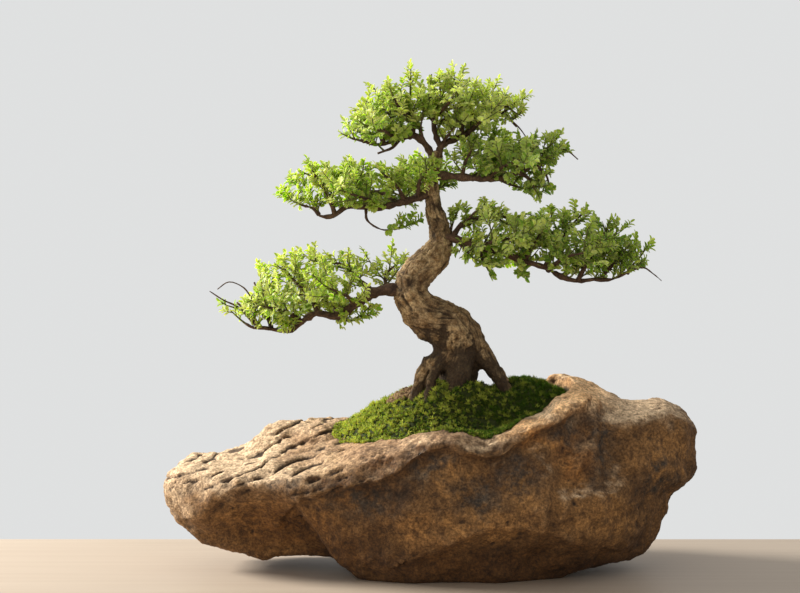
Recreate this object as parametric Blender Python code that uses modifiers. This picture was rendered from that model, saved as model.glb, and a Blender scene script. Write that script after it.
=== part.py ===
"""A small elm bonsai that grows from a moss mound in the hollow of a rough stone.

Run it with  blender --background --python part.py  or from Blender's text editor.
Lengths are in metres, with +Z up, +X to the right as seen from the front and +Y away from the viewer.
The origin is at the middle of the stone's length and depth, on the surface that the stone stands on.
"""

import math
import random

import bmesh
import bpy
from mathutils import Matrix, Vector, noise
from mathutils.bvhtree import BVHTree

MM = 0.001

# Driving dimensions of the stone and of its hollow.
STONE_LENGTH = 0.363
STONE_DEPTH = 0.192
STONE_VOXEL = 0.0045
STONE_TRIANGLES = 1650
BED_SIZE = 0.034
BED_RELIEF = 0.0026
PIT_SIZE = 0.013
PIT_RELIEF = 0.0012
HOLLOW_CENTRE = Vector((0.014, -0.003))
HOLLOW_HALF_LENGTH = 0.078
HOLLOW_HALF_DEPTH = 0.058
HOLLOW_FLOOR_DEPTH = 0.026
HOLLOW_RIM_DEPTH = 0.002
HOLLOW_SEGMENTS = 28
RIM_HEIGHT = 0.1015
RIM_SLOPE_X = 0.17
RIM_SLOPE_Y = 0.13
CUTTER_REACH = 0.05

# The gap between neighbouring pieces.
GAP = 0.0004

# How far the soil and the moss dome above the rim, how far the moss's edge stands above and below
# it, and the size and relief of the moss's cushions.
SOIL_DOME = 0.0100
MOUND_HEIGHT = 0.0235
MOSS_EDGE = 0.0012
CUSHION_SIZE = 0.0150
CUSHION_RELIEF = 0.0034

# The trunk's skin, and the relief of its bark.
TRUNK_TRIANGLES = 1400
TRUNK_VOXEL = 0.0014
BARK_SIZE = 0.0060
BARK_RELIEF = 0.0006

# The leaves: leaflets in opposite pairs on a rib, with one at its end.
LEAFLET_LENGTH = 0.0078
LEAFLET_PITCH = 0.60
LEAFLET_PAIRS = 2
BLADE_THICKNESS = 0.0008

# Where shoots stand: every so far back from a twig's tip, along the leafy part of its length.
SHOOT_PITCH = 0.0175
LEAFY_PART = 0.5
LEAFY_PART_OF_LIMB = 0.3
SHOOT_ROOT = 0.0008
TRIES = 14
MOST_CROSSINGS = 40

# Joins and cuts of this many blades are slow with the EXACT solver.
SOLVER = "MANIFOLD"

STONE_COLOUR = (0.30, 0.20, 0.13, 1.0)
SOIL_COLOUR = (0.10, 0.062, 0.040, 1.0)
MOSS_COLOUR = (0.13, 0.22, 0.035, 1.0)
BARK_COLOUR = (0.20, 0.145, 0.10, 1.0)
YOUNG_LEAF_COLOUR = (0.24, 0.40, 0.055, 1.0)
GROWN_LEAF_COLOUR = (0.10, 0.22, 0.040, 1.0)


def clear_scene():
    for obj in list(bpy.data.objects):
        bpy.data.objects.remove(obj, do_unlink=True)


def collection(name, helper=False):
    made = bpy.data.collections.new(name)
    made.hide_render = helper
    bpy.context.scene.collection.children.link(made)
    return made


def material(name, colour, roughness):
    made = bpy.data.materials.new(name)
    made.use_nodes = True
    shader = made.node_tree.nodes["Principled BSDF"]
    shader.inputs["Base Color"].default_value = colour
    shader.inputs["Roughness"].default_value = roughness
    shader.inputs["Metallic"].default_value = 0.0
    return made


def mesh_object(name, bm, group):
    mesh = bpy.data.meshes.new(name)
    bm.to_mesh(mesh)
    bm.free()
    obj = bpy.data.objects.new(name, mesh)
    group.objects.link(obj)
    return obj


def drop(obj):
    mesh = obj.data
    bpy.data.objects.remove(obj, do_unlink=True)
    bpy.data.meshes.remove(mesh)


def bake_modifiers(obj):
    """Replaces the object's mesh by what its modifiers make of it."""
    bpy.context.view_layer.update()
    graph = bpy.context.evaluated_depsgraph_get()
    made = bpy.data.meshes.new_from_object(obj.evaluated_get(graph))
    old = obj.data
    obj.modifiers.clear()
    obj.data = made
    made.name = obj.name
    bpy.data.meshes.remove(old)
    return obj


def join_all(obj, group):
    """Joins every mesh of the collection to the object in one Boolean union, then removes them."""
    union = obj.modifiers.new("join", "BOOLEAN")
    union.operation = "UNION"
    union.operand_type = "COLLECTION"
    union.collection = group
    union.solver = SOLVER
    bake_modifiers(obj)
    for piece in list(group.objects):
        drop(piece)
    return obj


def cut(obj, cutter):
    """Takes the cutter's shape out of the object."""
    cutter.hide_render = True
    cutter.display_type = "WIRE"
    bite = obj.modifiers.new("cut", "BOOLEAN")
    bite.operation = "DIFFERENCE"
    bite.solver = SOLVER
    bite.object = cutter
    return bake_modifiers(obj)


def largest_piece(obj):
    """Drops the loose scraps that a cut may leave."""
    bm = bmesh.new()
    bm.from_mesh(obj.data)
    left = set(bm.verts)
    pieces = []
    while left:
        piece, front = set(), [left.pop()]
        while front:
            vertex = front.pop()
            piece.add(vertex)
            near = {edge.other_vert(vertex) for edge in vertex.link_edges} & left
            left -= near
            front.extend(near)
        pieces.append(piece)
    pieces.sort(key=len)
    for piece in pieces[:-1]:
        bmesh.ops.delete(bm, geom=list(piece), context="VERTS")
    bm.to_mesh(obj.data)
    bm.free()


def decimate(obj, triangles):
    count = sum(len(face.vertices) - 2 for face in obj.data.polygons)
    fewer = obj.modifiers.new("fewer faces", "DECIMATE")
    fewer.ratio = min(1.0, triangles / count)
    return bake_modifiers(obj)


def remesh(obj, voxel, smooth_rounds):
    """Turns a union of simple forms into one even skin and softens its creases."""
    skin = obj.modifiers.new("skin", "REMESH")
    skin.mode = "VOXEL"
    skin.voxel_size = voxel
    soften = obj.modifiers.new("soften", "SMOOTH")
    soften.factor = 0.5
    soften.iterations = smooth_rounds
    return bake_modifiers(obj)


def finish_with(obj, finish):
    obj.data.materials.clear()
    obj.data.materials.append(finish)


# The stone: six boulder-like lumps, each the hull of its corners in millimetres, grown together.
def rim_height(x, y):
    """The sloping plane in which the hollow's rim lies."""
    return RIM_HEIGHT + RIM_SLOPE_X * (x - HOLLOW_CENTRE.x) + RIM_SLOPE_Y * (y - HOLLOW_CENTRE.y)


def in_hollow(unit_x, unit_y):
    """A point of the hollow's plan, an uneven oval, from a point of the unit disc."""
    angle = math.atan2(unit_y, unit_x)
    reach = 1 + 0.05 * math.sin(2 * angle + 2.6) + 0.04 * math.sin(3 * angle + 0.6)
    x = HOLLOW_CENTRE.x + HOLLOW_HALF_LENGTH * reach * unit_x
    y = HOLLOW_CENTRE.y + HOLLOW_HALF_DEPTH * reach * unit_y
    return x, y


def rim_corners(scale, count=16):
    """Corners of the body just outside the hollow, so that its top meets the moss all the way round."""
    corners = []
    for i in range(count):
        angle = 2 * math.pi * i / count
        x, y = in_hollow(scale * math.cos(angle), scale * math.sin(angle))
        corners.append(Vector((x, y, rim_height(x, y))) / MM)
    return corners


BODY = [
    (-99, -62, 66), (-66, -70, 75), (-33, -76, 87), (14, -80, 100), (48, -77, 99), (66, -72, 106),
    (-24, -94, 52), (30, -98, 50), (82, -88, 52), (-72, -62, 20), (-50, -56, -3), (-20, -68, -3),
    (40, -70, -3), (84, -50, -3), (-60, 70, 60), (-50, 94, 50), (40, 100, 55), (100, 84, 60),
    (-42, 52, -3), (84, 48, -3), (-20, 80, 20), (60, 82, 20),
]
LEFT_LOBE = [
    (-184, 0, 51), (-181, -24, 52), (-180, 28, 54), (-182, 0, 64), (-174, -22, 68), (-173, 26, 70),
    (-158, -34, 71), (-158, 42, 75), (-143, -38, 72), (-130, 50, 77), (-183, 0, 45), (-177, -16, 37),
    (-176, 20, 37), (-166, -22, 27), (-166, 28, 26), (-150, -24, 17), (-150, 28, 17), (-119, -28, 8),
    (-119, 38, 8), (-56, -30, 8), (-56, 44, 8), (-156, -42, 38), (-139, -50, 54), (-114, -56, 61),
    (-92, -60, 66), (-60, -34, 84), (-60, 52, 84),
]
BACK_HUMP = [
    (-131, 24, 74), (-128, 20, 85), (-114, 28, 96), (-97, 34, 99), (-76, 40, 98.5), (-58, 46, 98),
    (-114, -2, 77), (-62, 0, 91), (-112, 80, 56), (-58, 90, 60), (-128, 62, 56), (-60, 60, 20),
    (-112, 44, 28),
]
PEAK = [
    (70, -72, 105), (84, -63, 115), (99, -50, 121), (99, 14, 129), (86, 36, 127), (112, 30, 125),
    (128, 12, 117), (136, -14, 108), (80, -78, 60), (124, -66, 60), (80, 66, 112), (118, 60, 104),
    (70, 80, 60), (126, 66, 60), (112, -52, 104), (144, 0, 96),
]
SHOULDER = [
    (112, -56, 104), (139, -50, 101), (134, 22, 112), (144, 36, 113), (161, -32, 109), (162, 30, 113),
    (174, -24, 106), (174, 26, 107), (182, -14, 96), (182, 20, 95), (184, 2, 86), (182, -14, 65),
    (182, 16, 65), (178, 0, 57), (165, -42, 62), (165, 42, 62), (164, 0, 50), (100, -60, 56),
    (100, 64, 56), (140, -54, 74), (140, 56, 76),
]
RIGHT_BODY = [
    (50, -90, 48), (82, -90, 56), (122, -74, 58), (150, -50, 70), (150, 50, 70), (162, -26, 46),
    (162, 26, 46), (159, -4, 27), (152, -20, 17), (152, 20, 17), (138, -32, 9), (138, 26, 9),
    (112, -48, 6), (116, 32, 6), (60, -62, -2), (60, 48, -2), (50, 84, 44), (116, 72, 52),
    (126, -62, 28), (90, -78, 24),
]


def lump(name, corners, group):
    bm = bmesh.new()
    for corner in corners:
        bm.verts.new(Vector(corner) * MM)
    bmesh.ops.convex_hull(bm, input=bm.verts)
    loose = [vertex for vertex in bm.verts if not vertex.link_faces]
    bmesh.ops.delete(bm, geom=loose, context="VERTS")
    bmesh.ops.recalc_face_normals(bm, faces=bm.faces)
    return mesh_object(name, bm, group)


def weather(obj):
    """Pushes the skin in and out by two scales of noise, as worn beds and pits do."""
    for vertex in obj.data.vertices:
        point = vertex.co.copy()
        beds = noise.noise(Vector((point.x, point.y, point.z * 1.6)) / BED_SIZE)
        pits = noise.noise(point / PIT_SIZE + Vector((7.0, 3.0, 1.0)))
        vertex.co += vertex.normal * (BED_RELIEF * beds + PIT_RELIEF * pits)


def fit_to_plan(obj):
    """Scales the stone to its real length and depth and centres it on the origin."""
    for axis, size in ((0, STONE_LENGTH), (1, STONE_DEPTH)):
        values = [vertex.co[axis] for vertex in obj.data.vertices]
        low, high = min(values), max(values)
        for vertex in obj.data.vertices:
            vertex.co[axis] = (vertex.co[axis] - (low + high) / 2) * size / (high - low)


def floor_height(x, y, unit_radius):
    bowl = math.sqrt(max(0.0, 1 - unit_radius**2))
    return rim_height(x, y) - HOLLOW_RIM_DEPTH - HOLLOW_FLOOR_DEPTH * bowl


def moss_height(x, y, unit_radius):
    """A dome with a dip under the right-hand root and a crest beyond it."""
    dome = MOUND_HEIGHT * (1 - unit_radius**2)
    dip = 0.008 * math.exp(-(((x - 0.045) / 0.009) ** 2) - ((y - 0.010) / 0.045) ** 2)
    crest = 0.003 * math.exp(-(((x - 0.062) / 0.010) ** 2) - ((y - 0.012) / 0.030) ** 2)
    return rim_height(x, y) + dome - dip + crest


def soil_height(x, y, unit_radius):
    return rim_height(x, y) - MOSS_EDGE + SOIL_DOME * (1 - unit_radius**2)


def cushions(x, y):
    """The rounded cushions of the moss, as a height above its smooth mound."""
    distances, _ = noise.voronoi(Vector((x / CUSHION_SIZE, y / CUSHION_SIZE, 0.0)))
    return CUSHION_RELIEF * (0.75 - min(1.0, distances[0]))


def dish_shape(name, rings, scale, upper, lower, group):
    """A sphere remapped to a lens that fills the hollow's plan between a lower and an upper surface."""
    bm = bmesh.new()
    bmesh.ops.create_uvsphere(bm, u_segments=HOLLOW_SEGMENTS, v_segments=rings, radius=1.0)
    for vertex in bm.verts:
        unit_x, unit_y, height = vertex.co
        radius = min(1.0, math.hypot(unit_x, unit_y))
        vertex.co = (upper if height > 1e-4 else lower)(unit_x * scale, unit_y * scale, radius, height)
    bmesh.ops.recalc_face_normals(bm, faces=bm.faces)
    return mesh_object(name, bm, group)


def hollow_cutter(group):
    """The hollow's bowl, with straight walls above its rim."""
    def wall(unit_x, unit_y, radius, height):
        away = 1.0 if height > 0.99 else max(radius, 1e-6)
        x, y = in_hollow(unit_x / away, unit_y / away)
        return Vector((x, y, rim_height(x, y) + CUTTER_REACH * height))

    def bowl(unit_x, unit_y, radius, _):
        x, y = in_hollow(unit_x, unit_y)
        return Vector((x, y, floor_height(x, y, radius)))

    return dish_shape("hollow_cutter", 10, 1.0, wall, bowl, group)


def make_stone(group, helpers, finish):
    stone = lump("stone", [*BODY, *rim_corners(1.08)], group)
    lumps = (LEFT_LOBE, BACK_HUMP, PEAK, SHOULDER, RIGHT_BODY)
    for number, corners in enumerate(lumps):
        lump(f"lump_{number}", corners, helpers)
    join_all(stone, helpers)
    remesh(stone, STONE_VOXEL, 4)
    weather(stone)
    fit_to_plan(stone)
    decimate(stone, STONE_TRIANGLES)
    bm = bmesh.new()
    bmesh.ops.create_cube(bm, size=1.0)
    bmesh.ops.translate(bm, verts=bm.verts, vec=(0, 0, -0.5))
    table = mesh_object("table_cutter", bm, helpers)
    cut(stone, table)
    drop(table)
    hollow = hollow_cutter(helpers)
    cut(stone, hollow)
    drop(hollow)
    finish_with(stone, finish)
    return stone


# The tree's wood. A route is a list of (x, y, z) points in millimetres with a radius at each point.
TRUNK_ROUTE = [
    (17, 4, 106, 10.2), (18, 2, 127, 12.9), (20, 0, 141, 15.6), (19, -2, 152, 18.4),
    (13, -3, 161, 18.7), (2, -5, 168, 16.7), (-9, -6, 177, 13.6), (-14, -6, 186, 12.2),
    (-13, -4, 195, 11.9), (-5, -1, 204, 11.6), (3, 2, 212, 10.9), (7, 4, 220, 8.8), (6, 4, 230, 7.5),
    (3, 3, 240, 6.8), (1, 2, 250, 5.6), (0, 1, 259, 5.1), (1, 0, 269, 4.8), (4, 0, 278, 4.3),
    (5, 0, 283, 3.7),
]
ROOT_ROUTES = {
    "left": [
        (10, -5, 151, 7.5), (-1, -8, 141, 6.1), (-5, -10, 132, 5.4), (-9, -12, 122, 4.8),
        (-14, -14, 101, 3.7),
    ],
    "left_front": [
        (13, -10, 148, 6.8), (5, -16, 139, 4.8), (1, -21, 130, 3.7), (-2, -25, 118, 3.4),
        (-6, -28, 98, 3.1),
    ],
    "front": [
        (21, -9, 147, 10.9), (19, -17, 134, 8.8), (15, -25, 121, 7.1), (12, -31, 99, 5.8),
    ],
    "right": [
        (12, -2, 164, 10.9), (25, -3, 156, 12.6), (33, -4, 146, 8.5), (41, -6, 137, 5.8),
        (47, -8, 128, 5.1), (51, -10, 120, 4.8), (54, -12, 109, 4.1),
    ],
    "back": [
        (21, 8, 146, 9.5), (25, 20, 134, 6.1), (28, 30, 123, 4.8), (29, 36, 108, 4.1),
    ],
}

# Each spray is a list of twigs: radius at the base, radius at the tip, and a route in millimetres.
# The first twig of a spray is its limb, which starts inside the trunk.
SPRAYS = {
    "low_left_spray": [
        (4.4, 1.3, [(-18, -6, 188), (-29, -7, 189), (-41, -8, 186), (-53, -9, 178), (-63, -10, 171),
            (-78, -9, 173), (-89, -8, 166), (-97, -7, 161), (-113, -6, 163), (-120, -5, 163),
            (-126, -4, 166)]),
        (2.3, 1.0, [(-39, -8, 187), (-50, 2, 196), (-59, 8, 205), (-74, 12, 207)]),
        (2.0, 1.0, [(-76, -9, 173), (-83, -4, 185), (-92, 0, 194), (-100, 4, 203)]),
        (2.0, 1.0, [(-62, -9, 172), (-74, 10, 181), (-90, 24, 184), (-107, 30, 183)]),
        (1.9, 1.0, [(-87, -8, 167), (-97, -22, 175), (-112, -30, 179)]),
        (1.6, 1.0, [(-117, -5, 163), (-125, -3, 174), (-132, -2, 180)]),
        (1.8, 1.0, [(-30, -4, 189), (-31, 10, 198), (-25, 16, 204)]),
        (1.6, 1.0, [(-108, -6, 163), (-115, 10, 180), (-121, 14, 193)]),
        (1.8, 1.0, [(-52, -9, 179), (-57, -24, 186), (-68, -32, 191)]),
        (1.8, 1.0, [(-68, -9, 172), (-58, 0, 168), (-47, 6, 169)]),
    ],
    "mid_left_spray": [
        (3.1, 1.3, [(-1, 0, 254), (-13, -4, 250), (-24, -6, 247), (-36, -8, 244), (-47, -8, 245),
            (-57, -8, 245), (-66, -8, 239), (-75, -8, 239), (-80, -7, 244), (-87, -6, 246)]),
        (1.9, 1.0, [(-41, -8, 244), (-48, -2, 256), (-54, 3, 267), (-55, 4, 273)]),
        (1.9, 1.0, [(-65, -8, 240), (-69, -14, 252), (-76, -17, 263), (-80, -18, 270)]),
        (2.0, 1.0, [(-22, -6, 247), (-33, 14, 254), (-49, 28, 256), (-64, 34, 260)]),
        (1.9, 1.0, [(-32, -8, 245), (-42, -24, 250), (-57, -34, 255)]),
        (1.8, 1.0, [(-18, -5, 249), (-23, -12, 259), (-32, -14, 267)]),
        (1.6, 1.0, [(-76, -8, 240), (-84, 8, 254), (-89, 14, 258)]),
        (1.5, 1.0, [(-44, -8, 244), (-43, -12, 236), (-34, -14, 230), (-25, -15, 230)]),
        (1.8, 1.0, [(-9, -3, 251), (-8, -14, 262), (-2, -20, 270)]),
        (1.6, 1.0, [(-21, -6, 248), (-17, 8, 249), (-18, 20, 258)]),
    ],
    "crown_left_spray": [
        (2.9, 1.2, [(3, 0, 275), (-3, -1, 286), (-11, -3, 293), (-22, -6, 291), (-34, -8, 287),
            (-45, -8, 289), (-53, -8, 291)]),
        (1.9, 1.0, [(-12, -3, 292), (-13, -4, 305), (-14, -4, 314), (-14, -4, 320)]),
        (1.9, 1.0, [(-18, -5, 291), (-26, 4, 304), (-32, 8, 313)]),
        (1.8, 1.0, [(-32, -8, 288), (-37, -14, 299), (-44, -18, 307)]),
        (1.8, 1.0, [(-14, -3, 292), (-24, 16, 299), (-38, 30, 302)]),
        (1.8, 1.0, [(-24, -6, 291), (-30, -22, 295), (-41, -32, 298)]),
        (1.6, 1.0, [(-45, -8, 289), (-48, 2, 297), (-50, 6, 302)]),
        (1.5, 1.0, [(-21, -6, 291), (-26, -10, 285), (-36, -12, 281)]),
        (1.6, 1.0, [(-13, -4, 304), (-21, -16, 311), (-25, -20, 318)]),
    ],
    "crown_right_spray": [
        (2.9, 1.2, [(5, 0, 279), (7, 0, 286), (14, 1, 290), (24, 2, 294), (33, 3, 301), (43, 4, 306),
            (51, 4, 310)]),
        (2.3, 1.1, [(7, 0, 285), (3, 1, 294), (2, 2, 305), (5, 2, 315), (7, 2, 319)]),
        (1.9, 1.0, [(21, 2, 293), (21, -8, 305), (19, -12, 314)]),
        (1.9, 1.0, [(33, 3, 301), (35, 8, 312), (37, 10, 319)]),
        (1.6, 1.0, [(44, 4, 307), (48, -6, 312), (52, -9, 313)]),
        (1.5, 1.0, [(50, 4, 310), (54, 2, 304), (58, 0, 299)]),
        (1.8, 1.0, [(25, 2, 295), (30, 20, 304), (38, 32, 310)]),
        (1.8, 1.0, [(25, 2, 295), (33, -18, 302), (40, -28, 308)]),
        (1.8, 1.0, [(3, 2, 309), (0, 18, 316), (-6, 28, 321)]),
        (1.8, 1.0, [(3, 2, 306), (10, -18, 313), (14, -28, 318)]),
        (1.6, 1.0, [(3, 2, 312), (-1, -4, 318), (-1, -6, 322)]),
    ],
    "upper_right_spray": [
        (2.9, 1.2, [(2, 0, 266), (11, -4, 266), (21, -6, 265), (33, -8, 264), (45, -9, 264),
            (56, -9, 267), (67, -8, 271), (76, -6, 274)]),
        (1.8, 1.0, [(21, -6, 265), (23, -12, 275), (27, -14, 283)]),
        (1.9, 1.0, [(34, -8, 264), (40, 2, 275), (46, 6, 285)]),
        (1.9, 1.0, [(28, -6, 264), (38, 18, 271), (52, 30, 277)]),
        (1.9, 1.0, [(38, -8, 264), (46, -26, 271), (57, -34, 276)]),
        (1.8, 1.0, [(68, -8, 272), (73, -12, 281), (77, -12, 284)]),
        (1.5, 1.0, [(75, -6, 273), (81, 0, 279), (85, 2, 281)]),
        (1.5, 1.0, [(59, -9, 268), (66, -14, 264), (69, -14, 258)]),
        (1.5, 1.0, [(71, -8, 273), (78, 4, 267), (80, 6, 262)]),
        (1.6, 1.0, [(56, -9, 267), (63, 4, 278), (68, 8, 285)]),
        (1.5, 1.0, [(46, -9, 264), (54, 2, 260), (61, 6, 258)]),
    ],
    "low_right_spray": [
        (3.3, 1.3, [(7, 2, 225), (17, -3, 223), (30, -6, 219), (45, -8, 215), (61, -9, 209),
            (77, -9, 204), (88, -9, 198), (99, -9, 195), (110, -8, 196), (122, -8, 196),
            (131, -7, 200), (137, -6, 203)]),
        (2.2, 1.1, [(14, -1, 223), (21, 3, 233), (33, 4, 237), (46, 5, 238), (58, 6, 238)]),
        (1.5, 1.0, [(33, 4, 237), (39, -2, 243)]),
        (2.0, 1.0, [(77, -9, 204), (85, -2, 217), (93, 4, 229), (102, 6, 239)]),
        (1.9, 1.0, [(99, -9, 195), (107, -14, 211), (115, -16, 223), (118, -16, 230)]),
        (1.8, 1.0, [(114, -8, 196), (124, 0, 206), (134, 4, 214)]),
        (1.9, 1.0, [(47, -8, 214), (61, 16, 218), (77, 30, 222)]),
        (1.9, 1.0, [(88, -9, 198), (104, 14, 206), (118, 26, 212)]),
        (1.9, 1.0, [(32, -6, 218), (42, -24, 222), (55, -34, 225)]),
        (1.9, 1.0, [(79, -9, 202), (88, -28, 211), (101, -36, 215)]),
        (1.5, 1.0, [(32, -6, 218), (34, -10, 211), (37, -12, 205)]),
        (1.5, 1.0, [(56, -8, 211), (59, -4, 205)]),
        (1.5, 1.0, [(133, -7, 200), (138, 2, 206), (141, 4, 209)]),
        (1.8, 1.0, [(63, -9, 208), (70, -6, 220), (78, -4, 232)]),
    ],
    "back_spray": [
        (2.7, 1.2, [(1, 2, 247), (2, 20, 251), (3, 36, 256), (3, 48, 260)]),
        (1.8, 1.0, [(2, 22, 252), (-9, 34, 256), (-20, 42, 260)]),
        (1.8, 1.0, [(3, 36, 256), (14, 44, 263), (25, 50, 267)]),
        (1.6, 1.0, [(3, 40, 257), (-1, 52, 266), (-4, 58, 271)]),
    ],
}


def tube(name, route, radii, sides, group):
    """A tube along a route in millimetres, as a closed mesh."""
    curve = bpy.data.curves.new(name, "CURVE")
    curve.dimensions = "3D"
    curve.bevel_depth = MM
    curve.bevel_resolution = sides // 2 - 2
    curve.use_fill_caps = True
    spline = curve.splines.new("POLY")
    spline.points.add(len(route) - 1)
    for point, place, radius in zip(spline.points, route, radii, strict=True):
        point.co = (*(Vector(place[:3]) * MM), 1.0)
        point.radius = radius
    drawn = bpy.data.objects.new(name, curve)
    group.objects.link(drawn)
    bpy.context.view_layer.update()
    graph = bpy.context.evaluated_depsgraph_get()
    mesh = bpy.data.meshes.new_from_object(drawn.evaluated_get(graph))
    bpy.data.objects.remove(drawn, do_unlink=True)
    bpy.data.curves.remove(curve)
    bm = bmesh.new()
    bm.from_mesh(mesh)
    bpy.data.meshes.remove(mesh)
    bmesh.ops.remove_doubles(bm, verts=bm.verts, dist=1e-6)
    bmesh.ops.recalc_face_normals(bm, faces=bm.faces)
    return mesh_object(name, bm, group)


def make_trunk(group, helpers, finish):
    """The trunk and its roots: overlapping tubes grown together into one skin."""
    trunk = tube("trunk", TRUNK_ROUTE, [point[3] for point in TRUNK_ROUTE], 12, group)
    for name, route in ROOT_ROUTES.items():
        tube(f"root_{name}", route, [point[3] for point in route], 12, helpers)
    join_all(trunk, helpers)
    remesh(trunk, TRUNK_VOXEL, 5)
    for vertex in trunk.data.vertices:
        bark = noise.noise(vertex.co / BARK_SIZE + Vector((2.0, 5.0, 9.0)))
        vertex.co += vertex.normal * BARK_RELIEF * bark
    decimate(trunk, TRUNK_TRIANGLES)
    finish_with(trunk, finish)
    return trunk


# The soil and the moss fill the hollow, with plain holes in which the roots stand.
def make_soil(hull, group, finish):
    def top(unit_x, unit_y, radius, _):
        x, y = in_hollow(unit_x, unit_y)
        return Vector((x, y, soil_height(x, y, radius)))

    def bottom(unit_x, unit_y, radius, _):
        x, y = in_hollow(unit_x, unit_y)
        return Vector((x, y, floor_height(x, y, radius) + 1.5 * GAP))

    soil = dish_shape("soil", 8, 1 - GAP / HOLLOW_HALF_DEPTH, top, bottom, group)
    cut(soil, hull)
    largest_piece(soil)
    finish_with(soil, finish)
    return soil


def make_moss(hull, group, finish):
    def top(unit_x, unit_y, radius, _):
        x, y = in_hollow(unit_x, unit_y)
        fade = 1 - radius**4
        return Vector((x, y, moss_height(x, y, radius) + MOSS_EDGE + cushions(x, y) * fade))

    def bottom(unit_x, unit_y, radius, _):
        x, y = in_hollow(unit_x, unit_y)
        return Vector((x, y, soil_height(x, y, radius) + GAP))

    moss = dish_shape("moss", 12, 1 - GAP / HOLLOW_HALF_DEPTH, top, bottom, group)
    cut(moss, hull)
    largest_piece(moss)
    finish_with(moss, finish)
    return moss


# The foliage. A shoot is one thin arched blade whose outline is cut to the rib between its leaflets.
def shoot_outline(leaflet):
    """The outline round a rib along X: each leaflet's base, its shoulder and its tip, on both sides."""
    rib = 0.09 * leaflet
    half = [(0.0, rib)]
    start = 0.25 * leaflet
    for _ in range(LEAFLET_PAIRS):
        half.append((start, rib))
        half.append((start + 0.12 * leaflet, rib + 0.56 * leaflet))
        half.append((start + 0.62 * leaflet, rib + 0.86 * leaflet))
        start += LEAFLET_PITCH * leaflet
    half.append((start, rib))
    half.append((start + 0.48 * leaflet, 0.33 * leaflet))
    tip = (start + 1.05 * leaflet, 0.0)
    return [*half, tip, *((x, -y) for x, y in reversed(half))]


def shoot(name, matrix, leaflet, droop, thickness, group):
    """One shoot, whose rib runs along the matrix's X from its place, with its upper face along its Z."""
    outline = shoot_outline(leaflet)
    bm = bmesh.new()
    bm.faces.new([bm.verts.new((x, y, 0.0)) for x, y in outline])
    bmesh.ops.triangulate(bm, faces=bm.faces)
    for vertex in bm.verts:
        x, y, _ = vertex.co
        vertex.co.z = -droop * x * x - 0.35 * abs(y) ** 1.5 * LEAFLET_LENGTH**-0.5
    upper = bmesh.ops.extrude_face_region(bm, geom=bm.faces[:])
    raised = [item for item in upper["geom"] if isinstance(item, bmesh.types.BMVert)]
    bmesh.ops.translate(bm, verts=raised, vec=(0.0, 0.0, thickness))
    bmesh.ops.transform(bm, verts=bm.verts, matrix=matrix)
    bmesh.ops.recalc_face_normals(bm, faces=bm.faces)
    return mesh_object(name, bm, group)


def along(route, distance):
    """The point at a distance from the end of the route, and the route's direction there."""
    for before, after in zip(route[-2::-1], route[:0:-1], strict=True):
        step = after - before
        if distance <= step.length or before == route[0]:
            return after - step.normalized() * distance, step.normalized()
        distance -= step.length


def shoot_turn(direction):
    """The rotation that lays a shoot's rib along the direction with its upper face towards the sky."""
    side = Vector((0, 0, 1)).cross(direction).normalized()
    return Matrix((direction, side, direction.cross(side))).transposed().to_4x4()


def surface_of(obj):
    bm = bmesh.new()
    bm.from_mesh(obj.data)
    tree = BVHTree.FromBMesh(bm)
    bm.free()
    return tree


def shoot_directions(way, number, rng):
    """Directions to try for a shoot: outwards, turned to each side in turn, a little upwards."""
    for attempt in range(TRIES):
        spread = 0.35 if number == 0 else 0.9
        side = 1 if (number + attempt) % 2 else -1
        level = Vector((way.x, way.y, 0.25 * way.z))
        level.rotate(Matrix.Rotation(side * spread * rng.uniform(0.4, 1.5), 3, "Z"))
        level.normalize()
        yield (level + Vector((0, 0, rng.uniform(-0.1, 1.1)))).normalized()


def grow_shoots(name, twigs, wood, others, rng, group):
    """Sets shoots at the tips of the twigs and back along them, clear of each other and of other nodes.

    A shoot that would cross another is tried with twice its thickness, turned another way, or left out.
    """
    grown = []
    for twig, (_, _, route) in enumerate(twigs):
        points = [Vector(point) * MM for point in route]
        length = sum((b - a).length for a, b in zip(points, points[1:], strict=False))
        leafy = length * (LEAFY_PART if twig else LEAFY_PART_OF_LIMB)
        for number in range(int(leafy / SHOOT_PITCH) + 1):
            place, way = along(points, SHOOT_ROOT + number * SHOOT_PITCH)
            for direction in shoot_directions(way, number, rng):
                leaflet = LEAFLET_LENGTH * rng.uniform(0.88, 1.08)
                droop = rng.uniform(4.0, 14.0)
                roll = rng.choice((-1, 1)) * rng.uniform(0.2, 1.1)
                start = place - direction * SHOOT_ROOT / 2
                turn = shoot_turn(direction) @ Matrix.Rotation(roll, 4, "X")
                matrix = Matrix.Translation(start) @ turn
                label = f"{name}_{twig}_{number}"
                trial = shoot(label, matrix, leaflet, droop, 2 * BLADE_THICKNESS, group)
                surface = surface_of(trial)
                drop(trial)
                crosses = any(surface.overlap(other) for other in (*others, *grown))
                if crosses or len(surface.overlap(wood)) > MOST_CROSSINGS:
                    continue
                shoot(label, matrix, leaflet, droop, BLADE_THICKNESS, group)
                grown.append(surface)
                break
    return grown


def make_spray(name, twigs, trunk_hull, others, rng, group, helpers, finish):
    """A limb with its twigs and shoots as one body that stops a gap short of the trunk."""
    for number, (base, tip, route) in enumerate(twigs):
        steps = len(route) - 1
        radii = [base + (tip - base) * i / steps for i in range(steps + 1)]
        if number == 0:
            spray = tube(name, route, radii, 6, group)
        else:
            tube(f"{name}_twig_{number}", route, radii, 4, helpers)
    join_all(spray, helpers)
    grown = grow_shoots(name, twigs, surface_of(spray), others, rng, helpers)
    join_all(spray, helpers)
    cut(spray, trunk_hull)
    largest_piece(spray)
    finish_with(spray, finish)
    print(name, len(grown), "shoots,", len(spray.data.polygons), "faces")
    return spray


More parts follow.
